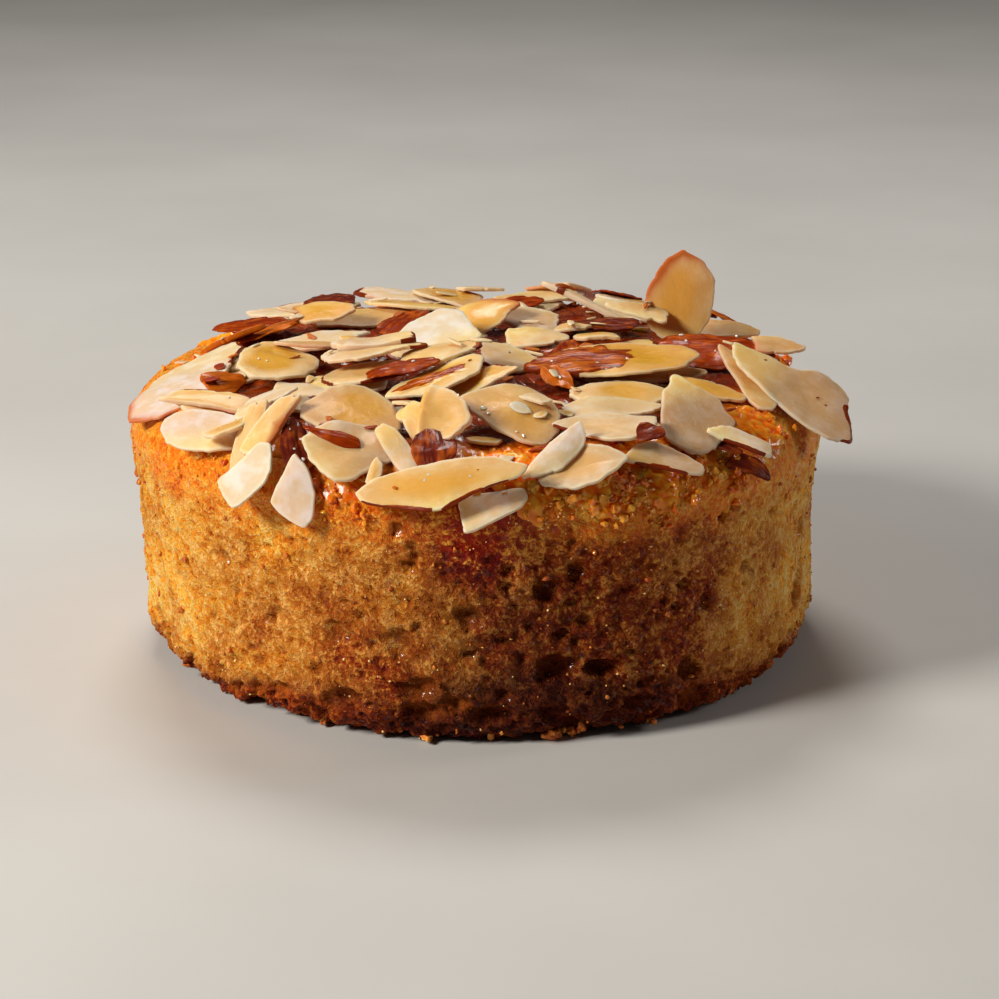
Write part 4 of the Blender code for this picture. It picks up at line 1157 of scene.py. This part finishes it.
cells = int(2 * REACH / CELL)
grid_axis = (np.arange(cells) + 0.5) * CELL - REACH
over_right, over_back = np.meshgrid(grid_axis, grid_axis, indexing="ij")
bed = wavy(BED_RADIUS, np.arctan2(over_back, over_right))
on_bed = np.hypot(over_right, over_back) <= bed
pile = np.where(on_bed, BED_TOP - SINK, CLEAR_OF_SPONGE)
floor_of_pile = np.full((cells, cells), CLEAR_OF_SPONGE)
covered = np.zeros((cells, cells), bool)
FINE_SHARE = np.repeat(np.arange(25) / 24, 15)
FINE_SIDE = np.tile(np.arange(15) / 7 - 1, 25)


def cell_of(right, back):
    """Row and column of the heap's map."""
    i = np.clip(((right + REACH) / CELL).astype(int), 0, cells - 1)
    j = np.clip(((back + REACH) / CELL).astype(int), 0, cells - 1)
    return i, j


def turned(right, back, heading, lift, roll):
    """Centre on the surface, the way it faces there, and the flake's axes."""
    point, normal = on_surface(right, back)
    lean = Vector((0, 0, 1)).rotation_difference(Vector(normal[0])).to_matrix()
    turn = Matrix.Rotation(math.radians(heading), 3, "Z")
    pitch = Matrix.Rotation(math.radians(-lift), 3, "Y")
    tip = Matrix.Rotation(math.radians(roll), 3, "X")
    return point[0], normal[0], np.array(lean @ turn @ pitch @ tip)


def resting_place(kind, right, back, heading, lift, roll, length, width, bow, draw):
    """Where the flake rests: its axes, its centre, its fine points and how high it lies."""
    point, normal, axes = turned(right, back, heading, lift, roll)
    fine = flake_surface(kind, length, width, bow, draw, FINE_SHARE, FINE_SIDE) @ axes.T
    rise = 0.5
    for _ in range(4):
        over = over_surface(fine + point + normal * rise)
        i, j = cell_of(over[0], over[1])
        lowest = over[2] - FLAKE_THICKNESS / 2
        gap = np.sort(pile[i, j] - lowest)
        needed = gap[int(CONTACT_SHARE * (len(gap) - 1))]
        rise += max(needed, float((floor_of_pile[i, j] - lowest).max()))
    return axes, point + normal * rise, fine, rise


def heap_up(points):
    """Raises the pile by a flake that has come to rest."""
    over = over_surface(points)
    i, j = cell_of(over[0], over[1])
    np.maximum.at(pile, (i, j), over[2] + FLAKE_THICKNESS / 2 - SINK)
    covered[i, j] = True


def slope_under(right, back, heading, reach):
    """Lift and roll of a flake that settles flat on what is already there."""
    near = (over_right - right) ** 2 + (over_back - back) ** 2 < reach**2
    sample = np.stack([over_right[near] - right, over_back[near] - back], axis=1)
    columns = np.c_[sample, np.ones(len(sample))]
    slope = np.linalg.lstsq(columns, pile[near], rcond=None)[0]
    turn = math.radians(heading)
    ahead = slope[0] * math.cos(turn) + slope[1] * math.sin(turn)
    left = -slope[0] * math.sin(turn) + slope[1] * math.cos(turn)
    limit = math.radians(16)
    lift = min(max(math.atan(ahead), -limit), limit)
    roll = min(max(math.atan(left), -limit), limit)
    return math.degrees(lift), math.degrees(roll)


def outline_of(row, marks, seed, own, count):
    """The flake's outline as distances from its middle, in shares of its half length and
    half width, at even turns; also that middle."""
    kind, _, _, _, _, _, length, width, _ = row
    turn = 2 * math.pi * np.arange(count) / count
    if "outline" in marks:
        ring = np.array(OUTLINES[marks["outline"]])
        middle = (ring.max(axis=0) + ring.min(axis=0)) / 2
    else:
        share, one = np.linspace(0, 1, 50), np.ones(50)
        zero_bow = (kind, length, width, 0.0)
        left = flake_surface(*zero_bow, random.Random(seed), share, one)
        right = flake_surface(*zero_bow, random.Random(seed), share, -one)
        ring = np.concatenate([left, right[::-1]])[:, :2] / (length / 2, width / 2)
        middle = np.array([(ring[:, 0].max() + ring[:, 0].min()) / 2, 0.0])
    start = ring - middle
    step = np.roll(start, -1, axis=0) - start
    ahead = np.stack([np.cos(turn), np.sin(turn)], axis=1)
    cross = ahead[:, None, 0] * step[:, 1] - ahead[:, None, 1] * step[:, 0]
    cross = np.where(np.abs(cross) < 1e-9, 1e-9, cross)
    out = (start[:, 0] * step[:, 1] - start[:, 1] * step[:, 0]) / cross
    along = (start[:, 0] * ahead[:, None, 1] - start[:, 1] * ahead[:, None, 0]) / cross
    reach = np.where((along >= -1e-6) & (along <= 1 + 1e-6) & (out > 0), out, 0).max(axis=1)
    reach = 0.25 * np.roll(reach, 1) + 0.5 * reach + 0.25 * np.roll(reach, -1)
    shift = [own.uniform(0, 90) for _ in range(3)]
    spots = np.pad(ahead * reach[:, None] * (length / 2, width / 2), ((0, 0), (0, 1)))
    rough = noise_at(spots, 0.8, shift, 3)
    known = "outline" in marks
    if not known:
        for _ in range(own.choice((1, 1, 2, 2))):
            facing, far = own.uniform(0, 2 * math.pi), own.uniform(0.62, 0.90)
            towards = np.maximum(np.cos(turn - facing), 0.05)
            reach = np.minimum(reach, np.maximum((far + 0.03 * rough) / towards, 0.35))
    chips = noise_at(spots + (0, 0, 4), 1.5, shift)
    reach = reach * (1 + (0.02 if known else 0.035) * rough)
    reach = reach * (1 - (0.018 if known else 0.04) * smooth_step(0.10, 0.42, chips))
    for _ in range(0 if known else own.choice((0, 1, 2))):
        where, wide = own.uniform(0, 2 * math.pi), own.uniform(0.05, 0.12)
        away = (turn - where + math.pi) % (2 * math.pi) - math.pi
        reach = reach * (1 - own.uniform(0.05, 0.16) * bell(away, 0, wide))
    return turn, reach, middle


def sliced_flake(row, tint, marks, seed, axes, centre, points_round, ring_shares=RINGS):
    """The finished flake: points, faces, tint, marks and where each point lies along the
    grain. Its rims are crisp, its outline is uneven and its face is not quite flat."""
    kind, _, _, heading, _, _, length, width, bow = row
    own = random.Random(seed * 7 + 3)
    turn, reach, middle = outline_of(row, marks, seed, own, points_round)
    count = len(turn)
    half = np.array([length / 2, width / 2])
    ahead = np.stack([np.cos(turn), np.sin(turn)], axis=1)
    radius = np.hypot(*(ahead * reach[:, None] * half).T)
    scales = [np.ones(count), 1 - EDGE_ROUNDING / radius] + [np.full(count, r) for r in ring_shares]
    scale = np.concatenate(scales + [np.zeros(1)])
    unit = np.concatenate([ahead * (reach * ring)[:, None] for ring in scales] + [np.zeros((1, 2))])
    unit = unit + middle
    rim = (1 - scale) * np.concatenate([radius] * len(scales) + [radius.mean(keepdims=True)])
    facing = np.concatenate([np.degrees(turn)] * len(scales) + [np.zeros(1)]) + heading
    flat = unit * half
    shift = [own.uniform(0, 90) for _ in range(3)]
    spots = np.pad(flat, ((0, 0), (0, 1)))
    wave = noise_at(spots, 0.8, shift)
    broad = noise_at(spots + (0, 0, 5), 0.22, shift)
    wrinkle = noise_at(spots * (0.25, 1.1, 1) + (0, 0, 9), 1, shift)
    t = np.clip(unit[:, 0] / 2 + 0.5, 0.02, 0.98)
    belly = np.maximum(almond_half(t), 0.3)
    level = np.clip(unit[:, 1] / belly, -1.2, 1.2)
    lie = bow * (1 - np.minimum(unit[:, 0] ** 2, 1.2)) * 0.6 - bow * 0.5 * level**2 * belly
    papery = "skin" in tint or kind == "skin"
    lie += (0.28 if papery else 0.24) * broad + (0.12 if papery else 0.05) * wave
    lie += (0.24 if papery else 0.02) * wrinkle
    lie += marks.get("cup", 0.0) * scale**2
    if "fold" in marks:
        lie -= 0.9 * bell(unit[:, 0], marks["fold"], 0.16)
        lie += 0.7 * bell(unit[:, 0] - marks["fold"], 0.3, 0.18)
        lie -= 0.6 * np.exp(-(((unit[:, 0] - 0.5) / 0.3) ** 2 + ((unit[:, 1] + 0.4) / 0.4) ** 2))
    skin = np.zeros(len(rim))
    if "patch" in marks:
        at, across, reach_along, reach_across = marks["patch"]
        off = np.hypot((unit[:, 0] - at) / reach_along, (unit[:, 1] - across) / reach_across)
        skin = smooth_step(1.12, 0.88, off + 0.22 * wave)
    raised = skin * (0.28 + 0.22 * wrinkle)
    thick = CUT_THICKNESS[kind] / 2 * (0.65 if papery else 1.0) * own.uniform(0.9, 1.1)
    hump = thick * (1 + 0.25 * broad) * (0.72 + 0.28 * np.minimum(rim / 1.2, 1.0))
    hump[:count] -= EDGE_ROUNDING
    size = len(unit)
    top, under = np.c_[flat, lie + hump + raised], np.c_[flat, lie - hump]
    faces = []
    rings = len(scales)
    for k in range(rings - 1):
        for i in range(count):
            a, b = k * count + i, k * count + (i + 1) % count
            faces.append((a, b, b + count, a + count))
            faces.append((size + b, size + a, size + a + count, size + b + count))
    last = (rings - 1) * count
    for i in range(count):
        j = (i + 1) % count
        faces.append((last + i, last + j, size - 1))
        faces.append((size + last + j, size + last + i, 2 * size - 1))
        faces.append((j, i, size + i, size + j))

    def towards(direction, spread):
        return bell(degrees_off(facing, direction), 0, spread)

    gold = marks.get("gold", 0.0) * smooth_step(1.0, 0.3, scale + 0.35 * broad)
    strength, direction = marks.get("rim", (0.0, 0))
    toast = strength * (0.12 + 0.88 * towards(direction, 70)) * np.exp(-rim / 1.0)
    toast = np.maximum(toast, own.uniform(0.05, 0.35) * np.exp(-rim / 0.35))
    for wide, direction in marks.get("strips", ()):
        strip = smooth_step(wide * 1.3, wide * 0.5, rim + 0.15 * wave) * towards(direction, 42)
        skin = np.maximum(skin, smooth_step(0.25, 0.6, strip))
    shade = own.uniform(0.93, 1.05)
    colour = np.tile([c * shade for c in TINTS[tint]] + [own.random()], (size, 1))
    # A buttery side: a painted highlight where the flake lists one, a random warm tone where it
    # doesn't.
    butter_highlight_share, direction = marks.get("butter_and_highlight", (own.uniform(0.15, 0.75), own.uniform(0, 360)))
    if papery or tint == "toasted":
        butter_highlight_share = 0.0
    bearing = math.radians(direction - heading)
    lean = unit[:, 0] * math.cos(bearing) + unit[:, 1] * math.sin(bearing) + 0.25 * broad
    share = butter_highlight_share * smooth_step(-0.15, 0.95, lean)[:, None]
    colour[:, :3] = (1 - share) * colour[:, :3] + share * np.array(TINTS["butter"])
    masks = np.stack([gold, toast, skin, np.minimum(rim / 5.0, 1.0)], axis=1)
    drift = (own.uniform(0, 40), own.uniform(0, 40))
    verts = np.concatenate([top, under]) @ axes.T + centre
    doubled = np.concatenate([colour, colour]), np.concatenate([masks, masks])
    return verts, faces, *doubled, np.tile(flat + drift, (2, 1))


def face_of(row, axes, centre, along, across):
    """A place on the flake's upper face, and the way out of it."""
    kind, _, _, _, _, _, length, width, bow = row
    lie = bow * (1 - along**2) * 0.6 - bow * 0.5 * across**2
    spot = np.array([along * length / 2, across * width / 2, lie + CUT_THICKNESS[kind] / 2])
    return axes @ spot + centre, axes[:, 2]


flakes = {
    "almond_slices": [], "almond_pieces": [], "almond_sticks": [], "almond_skins": [],
    "almond_bits": [],
}
PIECE_OF = {
    "whole": "almond_slices", "curl": "almond_slices", "broken": "almond_pieces",
    "stick": "almond_sticks", "chip": "almond_sticks", "skin": "almond_skins",
}
syrup_drops = []
FLAKE_SEEDS = 1000
placed = 0


def surface_of(points, faces):
    """A surface to come to rest on, with the corners of the box round it."""
    return BVHTree.FromPolygons(points.tolist(), faces), points.min(axis=0), points.max(axis=0)


def surface_of_piece(obj):
    points = np.empty(len(obj.data.vertices) * 3)
    obj.data.vertices.foreach_get("co", points)
    faces = [tuple(face.vertices) for face in obj.data.polygons]
    return surface_of(points.reshape(-1, 3) / MM, faces)


carriers = [surface_of_piece(sponge), surface_of_piece(glaze)]


def settled(points, down):
    """How a flake that would hang free moves on until it touches what lies under it."""
    low, high = points.min(axis=0) - LONGEST_DROP, points.max(axis=0) + LONGEST_DROP
    near = [tree for tree, least, most in carriers if (least < high).all() and (most > low).all()]
    feelers = [Vector(point) for point in points[:: max(1, len(points) // FEELERS)]]
    pairs = [(tree, feeler) for tree in near for feeler in feelers]
    if any(tree.find_nearest(feeler, TOUCHING)[0] is not None for tree, feeler in pairs):
        return np.zeros(3)
    gaps = [tree.ray_cast(feeler, Vector(down), LONGEST_DROP)[3] for tree, feeler in pairs]
    gaps = [gap for gap in gaps if gap is not None]
    return np.array(down) * (min(gaps) + PRESSED_IN) if gaps else np.zeros(3)


# Crumbs of almond and of its skin: some lie on flakes, and some sift down between them.
BIT_POINTS = 22
BIT_RINGS = (0.70, 0.35)
BIT_FLATTENED = 0.45
BITS = 330
BIT_SEED = 31
BIT_SEEDS = 5000


def lay_bit(spot, axes, size, tint, own):
    """A crumb of almond or of its skin, stuck flat where it fell."""
    heading = own.uniform(0, 360)
    spin = np.array(Matrix.Rotation(math.radians(heading), 3, "Z"))
    tip = np.array(Matrix.Rotation(math.radians(own.uniform(-14, 14)), 3, "X"))
    kind = "chip" if own.random() < 0.6 else "stick"
    wide = size * (own.uniform(0.45, 0.8) if kind == "chip" else own.uniform(0.2, 0.35))
    row = (kind, 0, 0, heading, 0, 0, size, wide, 0.05)
    number = BIT_SEEDS + len(flakes["almond_bits"])
    flattened = np.diag([1, 1, BIT_FLATTENED])
    bit = sliced_flake(row, tint, {}, number, flattened, 0, BIT_POINTS, BIT_RINGS)
    verts = bit[0] @ (axes @ spin @ tip).T + spot
    verts = verts + settled(verts, -axes[:, 2])
    flakes["almond_bits"].append((verts, *bit[1:]))


def add_flake(row, tint, marks, highest=99.0):
    """Lays one flake on the heap, unless it would lie too high."""
    global placed
    seed = FLAKE_SEEDS + placed
    axes, centre, fine, rise = resting_place(*row, random.Random(seed))
    if rise > highest:
        return False
    heap_up(fine + centre)
    piece = "almond_skins" if "skin" in tint or tint == "toasted" else PIECE_OF[row[0]]
    verts, faces, *rest = sliced_flake(row, tint, marks, seed, axes, centre, POINTS_ROUND[row[0]])
    move = settled(verts, -on_surface(row[1], row[2])[1][0])
    centre = centre + move
    flakes[piece].append((verts + move, faces, *rest))
    carriers.append(surface_of(verts + move, faces))
    own = random.Random(seed)
    for along, across, size, bit_tint in marks.get("bits", ()):
        spot, out = face_of(row, axes, centre, along, across)
        lay_bit(spot + out * 0.12, axes, size, bit_tint, own)
    for along, across, size in marks.get("drops", ()):
        spot, out = face_of(row, axes, centre, along, across)
        syrup_drops.append((spot, out, size))
    placed += 1
    return True


# The back, which the photograph doesn't show, and the gaps are filled by the same rule.
FILL_SEED = 23
BACK_LAYER = 16
GAP_FILL = 11
FILL_SHAKE = 5.0
FILL_SIZES = {
    "whole": (15, 9.5), "broken": (9.5, 8), "stick": (8.5, 3.2), "skin": (10, 6.5), "chip": (5, 4),
}
draw = random.Random(FILL_SEED)


def scatter(count, inner, outer, first, last, room, kinds, highest):
    """Flakes that settle by rule where the top is still bare."""
    laid = 0
    for _ in range(80 * count):
        distance = math.sqrt(draw.uniform(inner**2, outer**2))
        angle = math.radians(draw.uniform(first, last))
        right, back = distance * math.cos(angle), distance * math.sin(angle)
        heading = draw.uniform(0, 360)
        kind = draw.choice(kinds)
        if distance > 27 + 0.5 * back:
            continue
        near = (over_right - right) ** 2 + (over_back - back) ** 2 < room**2
        if covered[near].mean() > 0.4:
            continue
        size = draw.uniform(0.85, 1.15)
        length, width = FILL_SIZES[kind]
        lift, roll = slope_under(right, back, heading, 4.5)
        lift += draw.uniform(-FILL_SHAKE, FILL_SHAKE)
        roll += draw.uniform(-FILL_SHAKE, FILL_SHAKE)
        row = (kind, right, back, heading, lift, roll, length * size, width * size, 0.4)
        own = random.Random(placed)
        tint = own.choice(("ivory", "cream", "pale", "tan", "cream", "pink", "honey"))
        marks = {"gold": own.choice((0.0, 0.3, 0.8))}
        marks["rim"] = (own.uniform(0, 0.9), own.uniform(0, 360))
        if own.random() < 0.5:
            marks["strips"] = ((own.uniform(0.4, 0.8), own.uniform(0, 360)),)
        if kind == "skin":
            tint = own.choice(("skin", "dark skin", "toasted"))
        laid += add_flake(row, tint, marks, highest)
        if laid == count:
            break


for row, tint, marks in FLAKES:
    add_flake(row, tint, marks)
scatter(BACK_LAYER, 0, 36.5, 0, 180, 4.5, ("whole", "whole", "broken", "skin"), 1.8)
scatter(GAP_FILL, 6, 38, -40, 225, 3.0, ("broken", "stick", "chip", "skin"), 2.2)

# Broken bits stick in the glaze between the flakes.
own = random.Random(BIT_SEED)
for number in range(BITS):
    distance, angle = 37.0 * math.sqrt(own.random()), own.uniform(0, 2 * math.pi)
    right, back = distance * math.cos(angle), distance * math.sin(angle)
    i, j = cell_of(np.array([right]), np.array([back]))
    if covered[i[0], j[0]] and own.random() < 0.8:
        continue
    point, normal, axes = turned(right, back, 0, own.uniform(-12, 12), own.uniform(-12, 12))
    height = pile[i[0], j[0]] + (SINK if covered[i[0], j[0]] else 0.15)
    tint = own.choice(("cream", "ivory", "honey", "tan", "toasted", "skin", "pale"))
    lay_bit(point + normal * height, axes, own.uniform(0.9, 3.2), tint, own)

# Kernel grain: the faint lengthwise lines of a cut almond and of its skin.
lines, ins, outs = new_group("kernel_grain", {"Across": 1.0, "Along": 0.2}, ("Lines", "Clouds"))
plan = node(lines, "ShaderNodeUVMap", uv_map="grain").outputs["UV"]
parts = node(lines, "ShaderNodeSeparateXYZ", [("Vector", plan)]).outputs
along, across = (scaled(lines, parts[n], ins[way]) for n, way in enumerate(("Along", "Across")))
drawn_out = node(lines, "ShaderNodeCombineXYZ", [("X", along), ("Y", across)]).outputs[0]
fibres = noise_texture(lines, drawn_out, 1.0, 4.0, ("Distortion", 1.6))["Fac"]
clouds = noise_texture(lines, plan, 0.42, 4.0)["Fac"]
plug(lines, outs, [("Lines", fibres), ("Clouds", clouds)])


def kernel_material(name):
    """Cut almond: its own waxy tint, soaked gold, browned or skinned where its marks say,
    with a drier, paler rim."""
    material, tree, shader = new_material(name)
    tint = node(tree, "ShaderNodeAttribute", attribute_name="tint").outputs["Color"]
    gold, toast, skin, from_rim = painted(tree, "marks")
    fibre, cloud = from_group(tree, lines, Across=3.2, Along=0.9)
    vein, _ = from_group(tree, lines, Across=0.85, Along=0.20)
    deeper = times_colour(tree, tint, (0.93, 0.80, 0.58))
    colour = blend_colours(tree, between(tree, cloud, 0.66, 0.40), tint, deeper)
    whitened = scaled(tree, between(tree, parted(tree, tint)[1], 0.18, 0.45), 0.55)
    chalky = blend_colours(tree, whitened, colour, (0.88, 0.77, 0.63))
    paler = scaled(tree, between(tree, fibre, 0.50, 0.78), 0.5)
    colour = blend_colours(tree, paler, colour, chalky)
    dry = scaled(tree, between(tree, from_rim, 0.12, 0.0), 0.8)
    colour = blend_colours(tree, dry, colour, chalky)
    soaked = scaled(tree, cloud, 0.8, sums(tree, "SUBTRACT", gold, 0.55))
    soaked = between(tree, soaked, -0.15, 0.95)
    colour = blend_colours(tree, scaled(tree, soaked, 0.90), colour, (0.74, 0.34, 0.016))
    browned = scaled(tree, cloud, 0.5, sums(tree, "SUBTRACT", toast, 0.25))
    browned = scaled(tree, between(tree, browned, 0.1, 0.8), 0.92)
    colour = blend_colours(tree, browned, colour, (0.50, 0.11, 0.010))
    coated = scaled(tree, cloud, 0.3, sums(tree, "SUBTRACT", skin, 0.15))
    coated = between(tree, coated, 0.42, 0.52)
    veins = ramp(tree, vein, (
        (0.36, (0.10, 0.006, 0.001)), (0.46, (0.28, 0.034, 0.002)), (0.62, (0.54, 0.125, 0.004)),
    ))
    veins = blend_colours(tree, between(tree, from_rim, 0.13, 0.02), veins, (0.17, 0.020, 0.003))
    colour = blend_colours(tree, coated, colour, veins)
    dull = scaled(tree, coated, -0.22, scaled(tree, soaked, -0.2, 0.44), clamp=True)
    shine = scaled(tree, sums(tree, "SUBTRACT", 1.0, coated), scaled(tree, soaked, 0.3))
    relief = scaled(tree, vein, scaled(tree, coated, 1.5))
    relief = sums(tree, "ADD", relief, scaled(tree, fibre, 0.3, cloud))
    dress(
        tree, shader, colour, dull, specular=0.15, flesh=(0.45, (1.9, 1.0, 0.45)),
        coat=(shine, 0.14), normal=bumped(tree, relief, 0.6, 0.16),
    )
    return material


def skin_material(name):
    """Almond skin: papery and deeply veined along its length, glossy with syrup."""
    material, tree, shader = new_material(name)
    tint = node(tree, "ShaderNodeAttribute", attribute_name="tint").outputs["Color"]
    vein, cloud = from_group(tree, lines, Across=0.8, Along=0.22)
    speck_height = from_group(tree, specks, Scale=1.6)["Height"]
    dark = times_colour(tree, tint, (0.66, 0.52, 0.52))
    bright = blend_colours(tree, 0.38, tint, (0.80, 0.17, 0.006))
    colour = blend_colours(tree, between(tree, vein, 0.30, 0.54), dark, tint)
    patchy = between(tree, scaled(tree, cloud, 0.7, scaled(tree, vein, 0.5)), 0.56, 0.78)
    glossy = scaled(tree, between(tree, speck_height, 0.70, 0.84), 0.3)
    relief = scaled(tree, speck_height, 0.35, vein)
    dress(
        tree, shader, blend_colours(tree, patchy, colour, bright), scaled(tree, cloud, 0.16, 0.16),
        specular=0.04, flesh=(0.08, (1.2, 0.4, 0.1)), coat=(glossy, 0.12),
        normal=bumped(tree, relief, 1.0, 0.20),
    )
    return material


for name, laid in flakes.items():
    verts, faces, tints, marks, plans = zip(*laid)
    piece = joined(name, zip(verts, faces))
    paint(piece, "tint", np.concatenate(tints))
    paint(piece, "marks", np.concatenate(marks))
    corners = np.empty(len(piece.data.loops), np.int32)
    piece.data.loops.foreach_get("vertex_index", corners)
    grain_map = piece.data.uv_layers.new(name="grain")
    plan = np.concatenate(plans)[corners].astype(np.float32)
    grain_map.data.foreach_set("uv", plan.ravel())
    finish_of = skin_material if name == "almond_skins" else kernel_material
    piece.data.materials.append(finish_of(name + "_finish"))
    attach(piece, "root")
    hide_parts("almond_topping")


# Syrup drops
# Drops of syrup that stand on the flakes and skins and catch the light, coloured pale cream as
# painted glints.
DROP_SEED = 13
DROP_FLATTENED = 0.55

draw = random.Random(DROP_SEED)
lumps = []
for spot, out, size in syrup_drops:
    points, corners = pebble(size, draw, 3, 0.3)
    flattened = points - np.outer(points @ out, out) * DROP_FLATTENED
    lumps.append((flattened + spot, corners))
drops = joined("syrup_drops", lumps)
pale_glint_syrup, tree, shader = new_material("syrup_with_painted_glint")
height = from_group(tree, specks, Scale=0.8)["Height"]
colour = ramp(tree, height, ((0.35, (0.90, 0.64, 0.28)), (0.75, (0.97, 0.88, 0.66))))
dress(tree, shader, colour, 0.08, flesh=(0.5, (1.5, 1.0, 0.5)), coat=(1.0, 0.04))
drops.data.materials.append(pale_glint_syrup)
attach(drops, "root")


# Table, light and camera
# A pale table top under a large soft lamp from the upper left, a weaker one from the back
# right, and a lens that looks down on the cake by eighteen degrees.
TABLE_SIZE = 6.0
TABLE_TOP = -0.0002
AIM = Vector((0.0, 0.0, 0.015))
ROOM_COLOUR = (0.90, 0.87, 0.83, 1.0)
ROOM_LIGHT = 0.045
VIEW_DOWN = math.radians(18.2)
VIEW_DISTANCE = 0.35
SENSOR_WIDTH = 36.0
FOCAL_LENGTH = 101.8
SHIFT_RIGHT = 0.0185
SHIFT_UP = 0.0085

bpy.ops.mesh.primitive_plane_add(size=TABLE_SIZE, location=(0, 0, TABLE_TOP))
table = bpy.context.object
table.name = "table_top"
stone, tree, shader = new_material("pale_table")
place = node(tree, "ShaderNodeTexCoord").outputs["Object"]
mottle = noise_texture(tree, place, 14.0, 5.0)["Fac"]
colour = ramp(tree, mottle, ((0.3, (0.52, 0.51, 0.49)), (0.7, (0.58, 0.57, 0.55))))
dress(tree, shader, colour, 0.7)
table.data.materials.append(stone)


def aimed(name, data, place):
    """A lamp or a camera that looks at the cake."""
    obj = bpy.data.objects.new(name, data)
    bpy.context.scene.collection.objects.link(obj)
    obj.location = place
    obj.rotation_euler = (AIM - obj.location).to_track_quat("-Z", "Y").to_euler()
    return obj


def soft_lamp(name, place, size, power, colour):
    light = bpy.data.lights.new(name, "AREA")
    light.shape = "DISK"
    light.size, light.energy, light.color = size, power, colour
    aimed(name, light, place)


soft_lamp("key_lamp", (-0.39, -0.235, 0.31), 0.15, 3.15, (1.0, 0.95, 0.87))
soft_lamp("top_lamp", (-0.06, 0.30, 0.50), 0.22, 1.6, (1.0, 0.96, 0.91))
soft_lamp("right_lamp", (0.50, 0.12, 0.20), 0.14, 0.60, (1.0, 0.96, 0.92))
world = bpy.data.worlds.new("studio")
bpy.context.scene.world = world
world.use_nodes = True
room = world.node_tree.nodes["Background"]
plug(world.node_tree, room, [("Color", ROOM_COLOUR), ("Strength", ROOM_LIGHT)])
bpy.context.scene.view_settings.view_transform = "Standard"

lens = bpy.data.cameras.new("photo_camera")
lens.sensor_width, lens.lens = SENSOR_WIDTH, FOCAL_LENGTH
lens.shift_x, lens.shift_y = SHIFT_RIGHT, SHIFT_UP
away = Vector((0.0, -math.cos(VIEW_DOWN), math.sin(VIEW_DOWN)))
bpy.context.scene.camera = aimed("photo_camera", lens, AIM + VIEW_DISTANCE * away)
